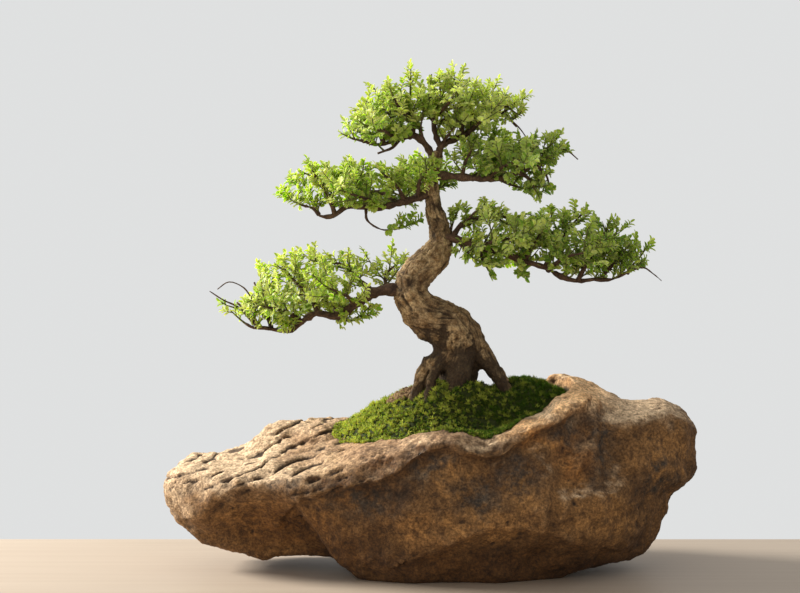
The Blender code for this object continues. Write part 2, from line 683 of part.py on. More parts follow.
def clearance_hull(obj, group):
    """A copy of the object that is wider all round by the gap, to cut its neighbours with."""
    hull = bpy.data.objects.new(f"{obj.name}_hull", obj.data.copy())
    for vertex in hull.data.vertices:
        vertex.co += vertex.normal * GAP
    group.objects.link(hull)
    return hull


def make_sprays(hull, group, helpers):
    young = material("young_leaf", YOUNG_LEAF_COLOUR, 0.5)
    grown = material("grown_leaf", GROWN_LEAF_COLOUR, 0.5)
    others = [surface_of(hull)]
    for seed, (name, twigs) in enumerate(SPRAYS.items()):
        finish = young if "left" in name else grown
        spray = make_spray(name, twigs, hull, others, random.Random(seed), group, helpers, finish)
        others.append(surface_of(spray))


if __name__ == "__main__":
    clear_scene()
    bonsai = collection("bonsai_tree")
    helpers = collection("helpers", helper=True)
    make_stone(bonsai, helpers, material("stone", STONE_COLOUR, 0.9))
    trunk = make_trunk(bonsai, helpers, material("bark", BARK_COLOUR, 0.85))
    cutters = collection("cutters", helper=True)
    hull = clearance_hull(trunk, cutters)
    make_soil(hull, bonsai, material("soil", SOIL_COLOUR, 0.95))
    make_moss(hull, bonsai, material("moss", MOSS_COLOUR, 0.95))
    make_sprays(hull, bonsai, helpers)
    drop(hull)
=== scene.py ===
# %% [markdown]
# # A small elm bonsai on a hollowed stone
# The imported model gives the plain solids: stone, soil, moss, trunk and seven leaf sprays. This
# lesson sets the camera and dresses them: weathered rock, bark, thousands of small leaves and moss
# shoots. Last come the table and the light. Lengths are metres, +Z is up, +X is to the right and +Y
# goes away from the viewer.

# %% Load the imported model
import math
import random

import bmesh
import bpy
import numpy as np
from mathutils import Matrix, Vector, noise
from mathutils.bvhtree import BVHTree


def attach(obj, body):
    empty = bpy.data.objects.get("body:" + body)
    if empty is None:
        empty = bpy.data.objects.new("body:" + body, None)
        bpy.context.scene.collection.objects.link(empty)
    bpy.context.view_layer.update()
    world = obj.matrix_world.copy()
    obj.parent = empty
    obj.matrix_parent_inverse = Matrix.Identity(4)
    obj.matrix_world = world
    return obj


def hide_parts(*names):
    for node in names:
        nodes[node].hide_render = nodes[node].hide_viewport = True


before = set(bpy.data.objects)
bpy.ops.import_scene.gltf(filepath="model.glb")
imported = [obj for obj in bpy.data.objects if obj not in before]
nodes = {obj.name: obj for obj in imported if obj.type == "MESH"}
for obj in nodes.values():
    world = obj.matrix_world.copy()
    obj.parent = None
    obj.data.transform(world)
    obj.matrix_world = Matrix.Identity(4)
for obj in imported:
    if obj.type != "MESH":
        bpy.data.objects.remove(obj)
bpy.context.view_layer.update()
MM = 0.001
print("nodes:", ", ".join(sorted(nodes)))

# %% [markdown]
# ## Camera
# The photograph is taken from nearly level with the tree, from far off with a long lens, so that
# the stone shows its front and only a sliver of its top. The camera looks 3 degrees down.

# %% Camera
camera = bpy.data.objects.new("camera", bpy.data.cameras.new("camera"))
bpy.context.scene.collection.objects.link(camera)
camera.data.lens = 105.9  # millimetres: a long lens
camera.data.clip_start = 0.05
LOOK_AT = Vector((-0.021, 0.0, 0.184))
DISTANCE = 1.6
DOWN = math.radians(3)
camera.location = LOOK_AT + DISTANCE * Vector((0, -math.cos(DOWN), math.sin(DOWN)))
camera.rotation_euler = (math.pi / 2 - DOWN, 0, 0)
bpy.context.scene.camera = camera
print("camera at", [round(value, 3) for value in camera.location])

# %% [markdown]
# ## Helpers for meshes
# Three things are done again and again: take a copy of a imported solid, give it an even skin of
# small faces that can carry relief, and keep a number at each point, such as how worn the stone is
# there, for the material to read.

# %% Mesh helpers
def new_piece(name, mesh):
    made = bpy.data.objects.new(name, mesh)
    bpy.context.scene.collection.objects.link(made)
    return made


def piece_from(name, bm):
    mesh = bpy.data.meshes.new(name)
    bm.to_mesh(mesh)
    bm.free()
    return new_piece(name, mesh)


def copy_of(node, name):
    """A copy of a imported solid, whose loose triangles are merged into one skin."""
    bm = bmesh.new()
    bm.from_mesh(nodes[node].data)
    bmesh.ops.remove_doubles(bm, verts=bm.verts, dist=1e-6)
    made = piece_from(name, bm)
    made.data.materials.clear()
    return made


def evaluated(piece):
    """The piece as it is with its modifiers worked out."""
    bpy.context.view_layer.update()
    return piece.evaluated_get(bpy.context.evaluated_depsgraph_get())


def apply_modifiers(piece):
    old = piece.data
    piece.data = bpy.data.meshes.new_from_object(evaluated(piece))
    piece.modifiers.clear()
    piece.data.materials.clear()
    piece.data.name = piece.name
    bpy.data.meshes.remove(old)
    return piece


def soften(piece, rounds):
    piece.modifiers.new("soften", "SMOOTH").iterations = rounds


def even_skin(piece, voxel, rounds):
    """Rebuilds the skin from small even faces and softens its flats."""
    skin = piece.modifiers.new("skin", "REMESH")
    skin.mode = "VOXEL"
    skin.voxel_size = voxel
    soften(piece, rounds)
    return apply_modifiers(piece)


print("skin helpers ready")

# %% [markdown]
# NumPy handles all the points of a piece at once, which is far quicker than a loop over them.
# Points and normals are read into arrays first and written back in one go, so a move never spoils
# the normals that later moves need.

# %% Points as arrays
def keep_at_points(piece, name, values):
    piece.data.attributes.new(name, "FLOAT", "POINT").data.foreach_set("value", values)


def read_points(mesh, what):
    found = np.empty(len(mesh.vertices) * 3)
    mesh.vertices.foreach_get(what, found)
    return found.reshape(-1, 3)


def points_of(mesh):
    return read_points(mesh, "co")


def normals_of(mesh):
    return read_points(mesh, "normal")


def push_out(piece, amounts):
    """Moves each point along its normal by its own millimetres, but not under the floor."""
    mesh = piece.data
    moved = points_of(mesh) + normals_of(mesh) * np.array(amounts)[:, None] * MM
    moved[:, 2] = np.maximum(moved[:, 2], 0.0)
    mesh.vertices.foreach_set("co", moved.ravel())
    mesh.update()


def bulge(piece, rounds):
    """How far each point stands out from the skin smoothed round it, in millimetres."""
    soften(piece, rounds)
    smooth = points_of(evaluated(piece).data)
    piece.modifiers.clear()
    offsets = (points_of(piece.data) - smooth) * normals_of(piece.data)
    return offsets.sum(axis=1) / MM


def triangles(piece):
    return sum(len(face.vertices) - 2 for face in piece.data.polygons)


def place(piece, slot, *replaced):
    """Finishes a piece: it rides on the tree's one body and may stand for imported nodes."""
    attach(piece, "root")
    if replaced:
        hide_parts(*replaced)
    print(f"{piece.name}: {triangles(piece)} triangles")


print("point helpers ready")

# %% [markdown]
# ## Helpers for materials
# A procedural material is a small graph. `add` makes one node of it and fills its sockets, either
# with a number or colour or with another node's output, so that each material reads top to bottom.

# %% Material helpers
def new_material(name, roughness):
    made = bpy.data.materials.new(name)
    made.use_nodes = True
    shader = made.node_tree.nodes["Principled BSDF"]
    shader.inputs["Roughness"].default_value = roughness
    return made, made.node_tree, shader


def add(tree, kind, sockets=None, **settings):
    made = tree.nodes.new(kind)
    for name, value in settings.items():
        setattr(made, name, value)
    for key, value in (sockets or {}).items():
        if isinstance(value, bpy.types.NodeSocket):
            tree.links.new(value, made.inputs[key])
        else:
            made.inputs[key].default_value = value
    return made


def place_on_piece(tree):
    return add(tree, "ShaderNodeTexCoord").outputs["Object"]


def kept(tree, name):
    return add(tree, "ShaderNodeAttribute", attribute_name=name).outputs["Fac"]


def grain(tree, where, scale, detail=6.0, roughness=0.6):
    sockets = {"Vector": where, "Scale": scale, "Detail": detail, "Roughness": roughness}
    return add(tree, "ShaderNodeTexNoise", sockets).outputs["Fac"]


def ranged(tree, value, low, high, to_low=0.0, to_high=1.0):
    sockets = {"Value": value, "From Min": low, "From Max": high,
               "To Min": to_low, "To Max": to_high}
    return add(tree, "ShaderNodeMapRange", sockets).outputs["Result"]


def colour_mix(tree, amount, first, second, blend="MIX"):
    made = add(tree, "ShaderNodeMix", {0: amount}, data_type="RGBA", blend_type=blend)
    for index, value in ((6, first), (7, second)):
        if isinstance(value, bpy.types.NodeSocket):
            tree.links.new(value, made.inputs[index])
        else:
            made.inputs[index].default_value = (*value, 1.0)
    return made.outputs[2]


def product(tree, first, second):
    return add(tree, "ShaderNodeMath", {0: first, 1: second}, operation="MULTIPLY").outputs[0]


def multiplied(tree, colour, by):
    return colour_mix(tree, 1.0, colour, by, "MULTIPLY")


def bumped(tree, height, strength, distance, below=None):
    sockets = {"Height": height, "Strength": strength, "Distance": distance}
    if below is not None:
        sockets["Normal"] = below
    return add(tree, "ShaderNodeBump", sockets).outputs["Normal"]


print("material helpers ready")

# %% [markdown]
# ## The stone
# The holder is a natural sandstone-like rock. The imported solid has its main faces, and the close
# look needs what weather does to them. First the front gets its sharp edges and shallow hollows,
# which are drawn as lines and spots on the front, in millimetres to the right and up. Sculpting by
# hand would do it too, but lines and spots can be measured and changed one by one.

# %% Edges and hollows of the front
FRONT_EDGES = [  # its line, how far it stands out, and how far that fades to its left and right
    ([(-88, 54), (-86, 57), (-73, 61), (-60, 65), (-47, 68), (-35, 70), (-24, 76), (-13, 84),
      (-2, 91), (8, 94), (31, 92), (44, 93), (57, 97), (70, 103), (84, 109), (98, 116)],
     5.5, 19, 3.2),
    ([(-160, 38), (-151, 42), (-144, 49), (-135, 58), (-127, 63), (-115, 62), (-103, 57),
      (-90, 53)], 4.5, 13, 3.0),
    ([(-14, 18), (8, 29), (24, 37), (43, 42), (70, 39), (93, 29), (108, 24)], 3.6, 13, 4.0),
    ([(88, 109), (80, 88), (76, 70), (72, 51), (70, 37)], 2.6, 4.0, 11.0),
    ([(100, 86), (93, 75), (87, 61), (84, 45)], 2.2, 3.5, 5.0),
    ([(28, 94), (15, 88), (4, 81), (-5, 69)], 2.0, 6.0, 3.0),
    ([(110, 113), (106, 93), (109, 68), (113, 48)], 2.2, 3.0, 9.0),
]
FRONT_HOLLOWS = [  # its middle, its half sizes and its depth
    (-112, 33, 40, 18, 6.5), (-48, 50, 30, 12, 2.2), (28, 66, 13, 20, 3.0), (58, 72, 9, 18, 2.0),
    (50, 20, 48, 11, 4.0), (118, 84, 9, 22, 3.2), (-20, 30, 20, 12, 1.5), (150, 50, 14, 12, 3.0),
    (98, 97, 7, 11, 1.8), (132, 62, 10, 7, 1.6),
]
BOLDNESS = 1.45


def side_of(line, x, z):
    """The distance from each point to a line, above 0 on its left and below 0 on its right."""
    nearest, side = np.full(len(x), np.inf), np.zeros(len(x))
    for (x1, z1), (x2, z2) in zip(line, line[1:], strict=False):
        step_x, step_z = x2 - x1, z2 - z1
        share = np.clip(((x - x1) * step_x + (z - z1) * step_z) / (step_x**2 + step_z**2), 0, 1)
        away_x, away_z = x - x1 - share * step_x, z - z1 - share * step_z
        away = np.hypot(away_x, away_z)
        side = np.where(away < nearest, np.sign(step_x * away_z - step_z * away_x), side)
        nearest = np.minimum(nearest, away)
    return nearest * side


def sculpted(x, z):
    """How far each point of the front comes towards the viewer, in millimetres."""
    total = np.zeros(len(x))
    for line, height, left, right in FRONT_EDGES:
        side = side_of(line, x, z)
        total += height * np.exp(-((side / np.where(side > 0, left, right)) ** 2))
    for middle_x, middle_z, half_width, half_height, depth in FRONT_HOLLOWS:
        away = ((x - middle_x) / half_width) ** 2 + ((z - middle_z) / half_height) ** 2
        total -= depth * np.exp(-(away**1.3))
    return BOLDNESS * total


print("edges:", len(FRONT_EDGES), "hollows:", len(FRONT_HOLLOWS))

# %% [markdown]
# Then come broad chips, thin cracked beds on the upper left, and pits where grains fell out. Each
# is a noise with its own size, and all push the skin along its normals. A displacement texture
# could do it too, but a formula lets each kind keep to its own part of the rock.

# %% Relief of the stone
def clamped(value):
    """The value, held between 0 and 1."""
    return min(1.0, max(0.0, value))


def three_noises(point):
    """Three noises as a vector. Blender's own noise_vector differs from run to run."""
    return Vector((noise.noise(point + Vector((9.3, -1.5, -8.0))), noise.noise(point),
                   noise.noise(point + Vector((6.3, 0.2, -2.7)))))


def chips(point):
    """Tilted plates that meet in soft creases."""
    bent = point + 4 * three_noises(point / 17)
    distances, centres = noise.voronoi(bent / 23)
    tilt = three_noises(centres[0] * 3.7)
    inner = min(1.0, (distances[1] - distances[0]) / 0.28)
    on_left = clamped((80 - point.x) / 90)
    return (bent - centres[0] * 23).dot(tilt) * (0.10 + 0.16 * on_left) * inner


def cracked_beds(point):
    """Thin beds that dip to the left, with dark open joints between some of them."""
    along = point.z * 0.93 - point.x * 0.36 + 2.6 * noise.noise(point / 21)
    joint = abs((along / 5.6) % 1.0 - 0.5) * 2
    open_here = noise.noise(Vector((point.x / 12, point.y / 14, along / 4)) + Vector((3, 8, 1)))
    return -2.5 * max(0.0, 1 - joint / 0.32) * clamped(open_here * 3.5 + 0.55)


def pits(point):
    distances, _ = noise.voronoi(point / 6.2)
    here = noise.noise(point / 24 + Vector((5, 1, 7)))
    return -1.5 * max(0.0, 1 - distances[0] / 0.36) * clamped(here * 2.4 + 0.35)


def stone_relief(point):
    """The push in millimetres at a point in millimetres: broad, fine."""
    broad = 1.9 * noise.fractal(point / 38, 1.0, 2.0, 3) + chips(point)
    fine = 0.85 * noise.fractal(point / 8, 0.7, 2.1, 4) + 0.40 * noise.noise(point / 2.6)
    upper_left = clamped((-28 - point.x) / 30) * clamped((point.z - 52) / 14)
    return broad, fine + pits(point) + cracked_beds(point) * upper_left


print("relief: chips, cracked beds and pits")

# %% [markdown]
# Here the stone gets all of this, the front's shapes first. Its lip, where the moss hangs over the
# front, is lowered a little, and nothing is pushed under the floor that it stands on.

# %% Weathered stone
STONE_VOXEL = 0.00153
LIP_MIDDLE, LIP_HALF_WIDTH, LIP_DROP = 38, 18, 8.0
stone = even_skin(copy_of("stone", "weathered_stone"), STONE_VOXEL, 2)
stone_mm = points_of(stone.data) / MM
to_viewer = sculpted(stone_mm[:, 0], stone_mm[:, 2])
plain_normals = normals_of(stone.data)
front = np.clip((0.35 - plain_normals[:, 1]) / 0.5, 0, 1)
front = front * np.clip((-18 - stone_mm[:, 1]) / 14, 0, 1)
stone_mm[:, 1] -= to_viewer * front
lip = np.exp(-(((stone_mm[:, 0] - LIP_MIDDLE) / LIP_HALF_WIDTH) ** 2))
lip = lip * np.clip((-stone_mm[:, 1] - 36) / 14, 0, 1)
stone_mm[:, 2] -= LIP_DROP * lip * np.clip((stone_mm[:, 2] - 76) / 18, 0, 1)
stone.data.vertices.foreach_set("co", (stone_mm * MM).ravel())
stone.data.update()
broad_normals = normals_of(stone.data)
reliefs = np.array([stone_relief(vertex.co / MM) for vertex in stone.data.vertices])
broad_relief, fine_relief = reliefs.T
clear_of_floor = np.clip(points_of(stone.data)[:, 2] / (4 * MM), 0, 1)
push_out(stone, (broad_relief + fine_relief) * clear_of_floor)
print("stone points:", len(fine_relief), "deepest pit", round(float(fine_relief.min()), 2), "mm")

# %% [markdown]
# ## The stone's colour
# The rock is brown, with grey lichen-like stains and rusty patches on its front, and a dusty cream
# where it faces the sky or stands out as an edge. Among the stains lie spots of painted light and
# shade: pale and sunlit spots are painted highlights where the rock is lit, and shady spots are
# painted shade on its foot and darker fronts. All lie where the photograph has them, as soft spots
# with a middle and half sizes, in millimetres to the right and up, whose edges fray with a noise.
# Numbers kept at the points carry all this to the material.

# %% Stains of the stone
STAINS_AND_PAINTED_LIGHT = {  # which way each kind frays in X and Z, and its spots
    "grey": (1, 1, [
        (-47, 57, 27, 12), (-5, 81, 17, 11), (55, 73, 13, 15), (110, 90, 12, 24), (30, 61, 14, 14),
        (-103, 68, 28, 6), (150, 66, 9, 14), (-140, 66, 14, 5), (88, 100, 10, 8),
    ]),
    "rust": (-1, 1, [
        (11, 72, 9, 13), (34, 40, 38, 10), (155, 81, 18, 18), (-107, 34, 36, 18), (109, 42, 26, 14),
        (-11, 36, 16, 11), (70, 94, 13, 6), (-76, 40, 9, 16), (92, 58, 7, 18), (60, 55, 10, 10),
    ]),
    # pale: painted highlight in the dust colour, where the nose, the peak and the left top are lit
    "pale": (1, -1, [
        (-172, 54, 12, 20), (-158, 62, 20, 9), (88, 116, 18, 9), (104, 118, 14, 8),
        (136, 108, 18, 5), (-130, 76, 36, 12), (-80, 96, 26, 10), (-60, 76, 20, 6),
    ]),
    # shady: painted shade on the foot, the left lobe's front and the upper front
    "shady": (1, -1, [(-95, 32, 48, 19), (-60, 18, 22, 16), (40, 8, 105, 14), (-52, 66, 26, 12)]),
    "tanned": (-1, -1, [(-44, 89, 40, 13), (6, 103, 34, 8), (-88, 84, 14, 9), (40, 108, 16, 7)]),
    # sunlit: painted highlight on the peak and the lip
    "sunlit": (1, 1, [(98, 122, 22, 9), (92, 84, 12, 14), (62, 100, 14, 6)]),
}


def spots(places, x, z):
    """How much of the spots shows at each point, from 0 to 1."""
    total = np.zeros(len(x))
    for centre_x, centre_z, half_width, half_height in places:
        away = ((x - centre_x) / half_width) ** 2 + ((z - centre_z) / half_height) ** 2
        total = np.maximum(total, np.exp(-0.7 * away**1.5))
    return total


stone_mm = points_of(stone.data) / MM
ragged = np.array([noise.noise(Vector(point) / 11) for point in stone_mm]) * 9
for layer, (fray_x, fray_z, places) in STAINS_AND_PAINTED_LIGHT.items():
    x, z = stone_mm[:, 0] + fray_x * ragged, stone_mm[:, 2] + fray_z * ragged
    keep_at_points(stone, layer, spots(places, x, z))
upward = np.minimum(plain_normals[:, 2] + 0.1, broad_normals[:, 2])
keep_at_points(stone, "open_sky", np.clip((upward - 0.36) / 0.35, 0, 1))
stone_edges = bulge(stone, 24)
keep_at_points(stone, "edge", stone_edges)
keep_at_points(stone, "hole", -fine_relief)
stone.data.shade_smooth()
print("edges stand out by up to", round(float(stone_edges.max()), 2), "mm")

# %% [markdown]
# The material builds the colour up in layers: earth, rust and grey stains, cream dust on what faces
# the sky and worn edges, as they came about on the rock; then a painted highlight on the edges and
# the pale and sunlit spots, the holes and hollows darkened as painted shade, the shady spots, and
# grit over all of it. A painted picture could hold more, but a graph of noises stays sharp at any
# distance.

# %% Rock material
EARTH_DARK, EARTH_LIGHT = (0.095, 0.047, 0.016), (0.225, 0.120, 0.043)
RUST, GREY_STAIN, MOSS_STAIN = (0.335, 0.178, 0.060), (0.060, 0.048, 0.038), (0.045, 0.032, 0.014)
DUST_AND_HIGHLIGHT, WORN_EDGE_AND_HIGHLIGHT = (0.68, 0.52, 0.345), (0.50, 0.32, 0.165)
HOLE_SHADE, HOLLOW_SHADE = (0.045, 0.025, 0.013), (0.06, 0.036, 0.02)
# shady darkens as painted shade, sunlit brightens as a painted highlight, tanned gives a warmer tone
TINTS_AND_PAINTED_LIGHT = {"shady": (0.56, 0.48, 0.36), "tanned": (0.68, 0.58, 0.50), "sunlit": (1.36, 1.18, 0.95)}
rock, tree, shader = new_material("weathered_rock", 0.92)
where = place_on_piece(tree)
normal = add(tree, "ShaderNodeNewGeometry").outputs["Normal"]
facing_up_here = add(tree, "ShaderNodeSeparateXYZ", {0: normal}).outputs["Z"]
blotches = grain(tree, where, 42.0, 8.0, 0.62)
speckle = grain(tree, where, 620.0, 4.0, 0.7)
streaks = grain(tree, where, 150.0, 6.0, 0.65)
mottling = grain(tree, where, 260.0, 5.0, 0.7)
colour = colour_mix(tree, ranged(tree, blotches, 0.38, 0.66), EARTH_DARK, EARTH_LIGHT)
rusty = product(tree, kept(tree, "rust"), ranged(tree, streaks, 0.36, 0.58))
colour = colour_mix(tree, rusty, colour, RUST)
grey = product(tree, kept(tree, "grey"), ranged(tree, streaks, 0.62, 0.40))
colour = colour_mix(tree, grey, colour, GREY_STAIN)
sky = product(tree, ranged(tree, facing_up_here, 0.38, 0.85), kept(tree, "open_sky"))
dust = product(tree, sky, ranged(tree, streaks, 0.38, 0.58, 0.25, 1.0))
# Dust on what faces the sky, plus a painted highlight in the pale spots.
dust_and_painted_highlight = add(tree, "ShaderNodeMath", {0: dust, 1: product(tree, kept(tree, "pale"), speckle)},
             operation="ADD", use_clamp=True).outputs[0]
colour = colour_mix(tree, dust_and_painted_highlight, colour, DUST_AND_HIGHLIGHT)
# Worn edges, partly a painted highlight along the edges that catch the light.
worn = ranged(tree, kept(tree, "edge"), 0.25, 1.5, 0.0, 0.38)
colour = colour_mix(tree, worn, colour, WORN_EDGE_AND_HIGHLIGHT)
# Painted shade in the pits and open joints.
pitted = ranged(tree, kept(tree, "hole"), 0.30, 1.2, 0.0, 0.92)
colour = colour_mix(tree, pitted, colour, HOLE_SHADE)
# Painted shade in the hollows.
sunk = ranged(tree, kept(tree, "edge"), -0.3, -1.6, 0.0, 0.7)
colour = colour_mix(tree, sunk, colour, HOLLOW_SHADE)
grit = colour_mix(tree, ranged(tree, speckle, 0.38, 0.62), (0.56, 0.53, 0.50), (1.36, 1.32, 1.26))
mottle = colour_mix(tree, ranged(tree, mottling, 0.38, 0.62), (0.66, 0.64, 0.62),
                    (1.25, 1.25, 1.25))
colour = multiplied(tree, multiplied(tree, colour, grit), mottle)
for layer, dye in TINTS_AND_PAINTED_LIGHT.items():
    colour = multiplied(tree, colour, colour_mix(tree, kept(tree, layer), (1.0, 1.0, 1.0), dye))
mossy = product(tree, kept(tree, "moss_edge"), ranged(tree, streaks, 0.30, 0.50))
tree.links.new(colour_mix(tree, mossy, colour, MOSS_STAIN), shader.inputs["Base Color"])
pores = add(tree, "ShaderNodeTexVoronoi", {"Vector": where, "Scale": 700.0}).outputs["Distance"]
coarse = bumped(tree, streaks, 0.6, 0.0016)
tree.links.new(bumped(tree, pores, 0.35, 0.0007, bumped(tree, speckle, 0.55, 0.0009, coarse)),
               shader.inputs["Normal"])
stone.data.materials.append(rock)
place(stone, "stone", "stone")

# %% [markdown]
# ## The trunk
# The bark of an old elm is brown-grey, with shallow furrows that run along the wood and turn with
# it. So the noise is read in a frame that follows the wood: fine across it and long along it. The
# lines down the middle of the trunk and the roots, in millimetres, are the ones that the solid was
# made of.

# %% Routes of the wood
TRUNK_ROUTE = [
    (17, 4, 106), (18, 2, 127), (20, 0, 141), (19, -2, 152), (13, -3, 161), (2, -5, 168),
    (-9, -6, 177), (-14, -6, 186), (-13, -4, 195), (-5, -1, 204), (3, 2, 212), (7, 4, 220),
    (6, 4, 230), (3, 3, 240), (1, 2, 250), (0, 1, 259), (1, 0, 269), (4, 0, 278), (5, 0, 283),
]
ROOT_ROUTES = [
    [(10, -5, 151), (-1, -8, 141), (-5, -10, 132), (-9, -12, 122), (-14, -14, 101)],
    [(13, -10, 148), (5, -16, 139), (1, -21, 130), (-2, -25, 118), (-6, -28, 98)],
    [(21, -9, 147), (19, -17, 134), (15, -25, 121), (12, -31, 99)],
    [(12, -2, 164), (25, -3, 156), (33, -4, 146), (41, -6, 137), (47, -8, 128), (54, -12, 109)],
    [(21, 8, 146), (25, 20, 134), (28, 30, 123), (29, 36, 108)],
]


def wood_lines(routes):
    """Start, step and length so far of each straight piece of the routes, as arrays."""
    starts, steps, so_far = [], [], []
    for route in routes:
        length = 0.0
        for before, after in zip(route, route[1:], strict=False):
            starts.append(before)
            steps.append(np.subtract(after, before))
            so_far.append(length)
            length += float(np.linalg.norm(steps[-1]))
    return np.array(starts, float), np.array(steps, float), np.array(so_far)


def wood_frame(points, routes):
    """For each point: its offset from the nearest line, and how far along the wood it is."""
    starts, steps, so_far = wood_lines(routes)
    gap = points[:, None, :] - starts[None]
    share = np.clip((gap * steps).sum(2) / (steps**2).sum(1), 0, 1)
    offset = gap - share[..., None] * steps[None]
    nearest = (offset**2).sum(2).argmin(1)
    rows = np.arange(len(points))
    along = so_far[nearest] + share[rows, nearest] * np.linalg.norm(steps[nearest], axis=1)
    return offset[rows, nearest], along


print("wood lines:", len(wood_lines([TRUNK_ROUTE, *ROOT_ROUTES])[0]))

# %% [markdown]
# The bark's relief adds up long ridges, knots, thin flakes and plates, and deep creases where the
# trunk bends sharply. Painted shade darkens the trunk's foot between its roots, a fork above them
# and a spot high on the trunk, and is kept for the material with the furrows.

# %% Bark of the trunk
TRUNK_VOXEL = 0.00070
TWIST = 0.012  # how far the furrows turn round the wood, in radians a millimetre
trunk = even_skin(copy_of("trunk", "barked_trunk"), TRUNK_VOXEL, 6)
trunk_mm = points_of(trunk.data) / MM
offsets, along_wood = wood_frame(trunk_mm, [TRUNK_ROUTE, *ROOT_ROUTES])
CREVICES = [  # the middle of each, its half sizes and its depth
    ((8, -19, 160), (3.5, 14.0, 11.0), 1.6), ((26, -12, 141), (7.0, 14.0, 9.0), 1.6),
    ((-3, -8, 149), (7.0, 14.0, 6.0), 5.0),
]
furrows = []
for vertex, offset, along in zip(trunk.data.vertices, offsets, along_wood, strict=True):
    turned = Matrix.Rotation(along * TWIST, 3, "Z") @ Vector(offset)
    lengthwise = turned / 3.6 + Vector((0, 0, along / 26))
    ridge = 1 - abs(noise.fractal(lengthwise, 0.9, 2.0, 3)) * 2.4
    knots = noise.fractal(vertex.co / MM / 8.5, 1.0, 2.0, 2)
    flakes = noise.fractal(turned / 1.3 + Vector((0, 0, along / 3.4)), 0.7, 2.0, 2)
    distances, _ = noise.voronoi(turned / 4.2 + Vector((knots * 0.6, 0, along / 8.5)))
    plate = min(1.0, (distances[1] - distances[0]) / 0.22)
    push = 0.34 * (ridge - 0.6) + 0.80 * knots + 0.28 * flakes + 0.55 * (plate - 0.8)
    for centre, size, depth in CREVICES:
        away = vertex.co / MM - Vector(centre)
        push -= depth * math.exp(-sum((away[k] / size[k]) ** 2 for k in range(3)) * 1.6)
    furrows.append(push)
push_out(trunk, furrows)
# Painted shade on the trunk's foot, the fork above it and a spot high up, kept with the furrows.
PAINTED_SHADE_SPOTS = [  # the middle of each, its half sizes and how dark it is
    ((24, -14, 134), (17, 22, 13), 1.3), ((-3, -20, 118), (12, 16, 12), 1.1),
    ((20, -20, 122), (16, 18, 14), 1.3), ((38, -12, 128), (13, 16, 13), 0.9),
    ((6, -6, 246), (9, 14, 17), 0.7), ((-2, -16, 152), (9, 12, 12), 0.5),
]
painted_shade = [sum(depth * math.exp(-sum(((point[k] - centre[k]) / size[k]) ** 2 for k in range(3)))
            for centre, size, depth in PAINTED_SHADE_SPOTS) for point in trunk_mm]
keep_at_points(trunk, "furrow", np.array(furrows) - np.array(painted_shade))
keep_at_points(trunk, "edge", bulge(trunk, 20))
trunk.data.shade_smooth()
print("bark pushed from", round(min(furrows), 2), "to", round(max(furrows), 2), "mm")

# %% [markdown]
# Bark is dark in its furrows and paler on what rubs dry, the ridges and the faces of its plates.
# The painted shade on the trunk takes the same dark colour as the furrows. The same bark, darker,
# covers the twigs, and the youngest wood is green.

# %% Bark materials
YOUNG_WOOD = (0.15, 0.18, 0.04)


def bark_material(name, furrow_and_shade_colour, bark_colour, dry_colour):
    made, tree, shader = new_material(name, 0.88)
    where = place_on_piece(tree)
    patches = grain(tree, where, 190.0, 7.0, 0.68)
    flecks = grain(tree, where, 800.0, 4.0, 0.7)
    bark = colour_mix(tree, ranged(tree, patches, 0.36, 0.68), bark_colour, dry_colour)
    blotches = ranged(tree, grain(tree, where, 75.0, 4.0, 0.6), 0.36, 0.62)
    blotched = colour_mix(tree, blotches, (0.58, 0.52, 0.46), (1.16, 1.14, 1.10))
    bark = multiplied(tree, bark, blotched)
    worn = ranged(tree, kept(tree, "edge"), 0.15, 0.9, 0.0, 0.7)
    bark = colour_mix(tree, worn, bark, dry_colour)
    # The furrow colour goes into the furrows and onto the painted shade.
    deep = ranged(tree, kept(tree, "furrow"), 0.05, -0.85, 0.0, 0.9)
    bark = colour_mix(tree, deep, bark, furrow_and_shade_colour)
    bark = colour_mix(tree, kept(tree, "young"), bark, YOUNG_WOOD)
    fleck = colour_mix(tree, ranged(tree, flecks, 0.37, 0.63), (0.56, 0.54, 0.52),
                       (1.40, 1.36, 1.30))
    tree.links.new(multiplied(tree, bark, fleck), shader.inputs["Base Color"])
    tree.links.new(bumped(tree, flecks, 0.5, 0.0006, bumped(tree, patches, 0.4, 0.0012)),
                   shader.inputs["Normal"])
    return made


old_bark = bark_material("old_bark", (0.026, 0.013, 0.004), (0.185, 0.107, 0.040),
                         (0.52, 0.395, 0.225))
twig_bark = bark_material("twig_bark", (0.028, 0.015, 0.009), (0.075, 0.042, 0.026),
                          (0.16, 0.10, 0.062))
trunk.data.materials.append(old_bark)
place(trunk, "bark", "trunk")

# %% [markdown]
# ## Copies by the thousand
# Leaves and moss shoots are small shapes repeated thousands of times. Each is modelled once, and a
# geometry nodes modifier sets a copy on every point of a cloud of points, with a turn, a size and a
# tint kept at the point. Applying the modifier makes the copies real faces.

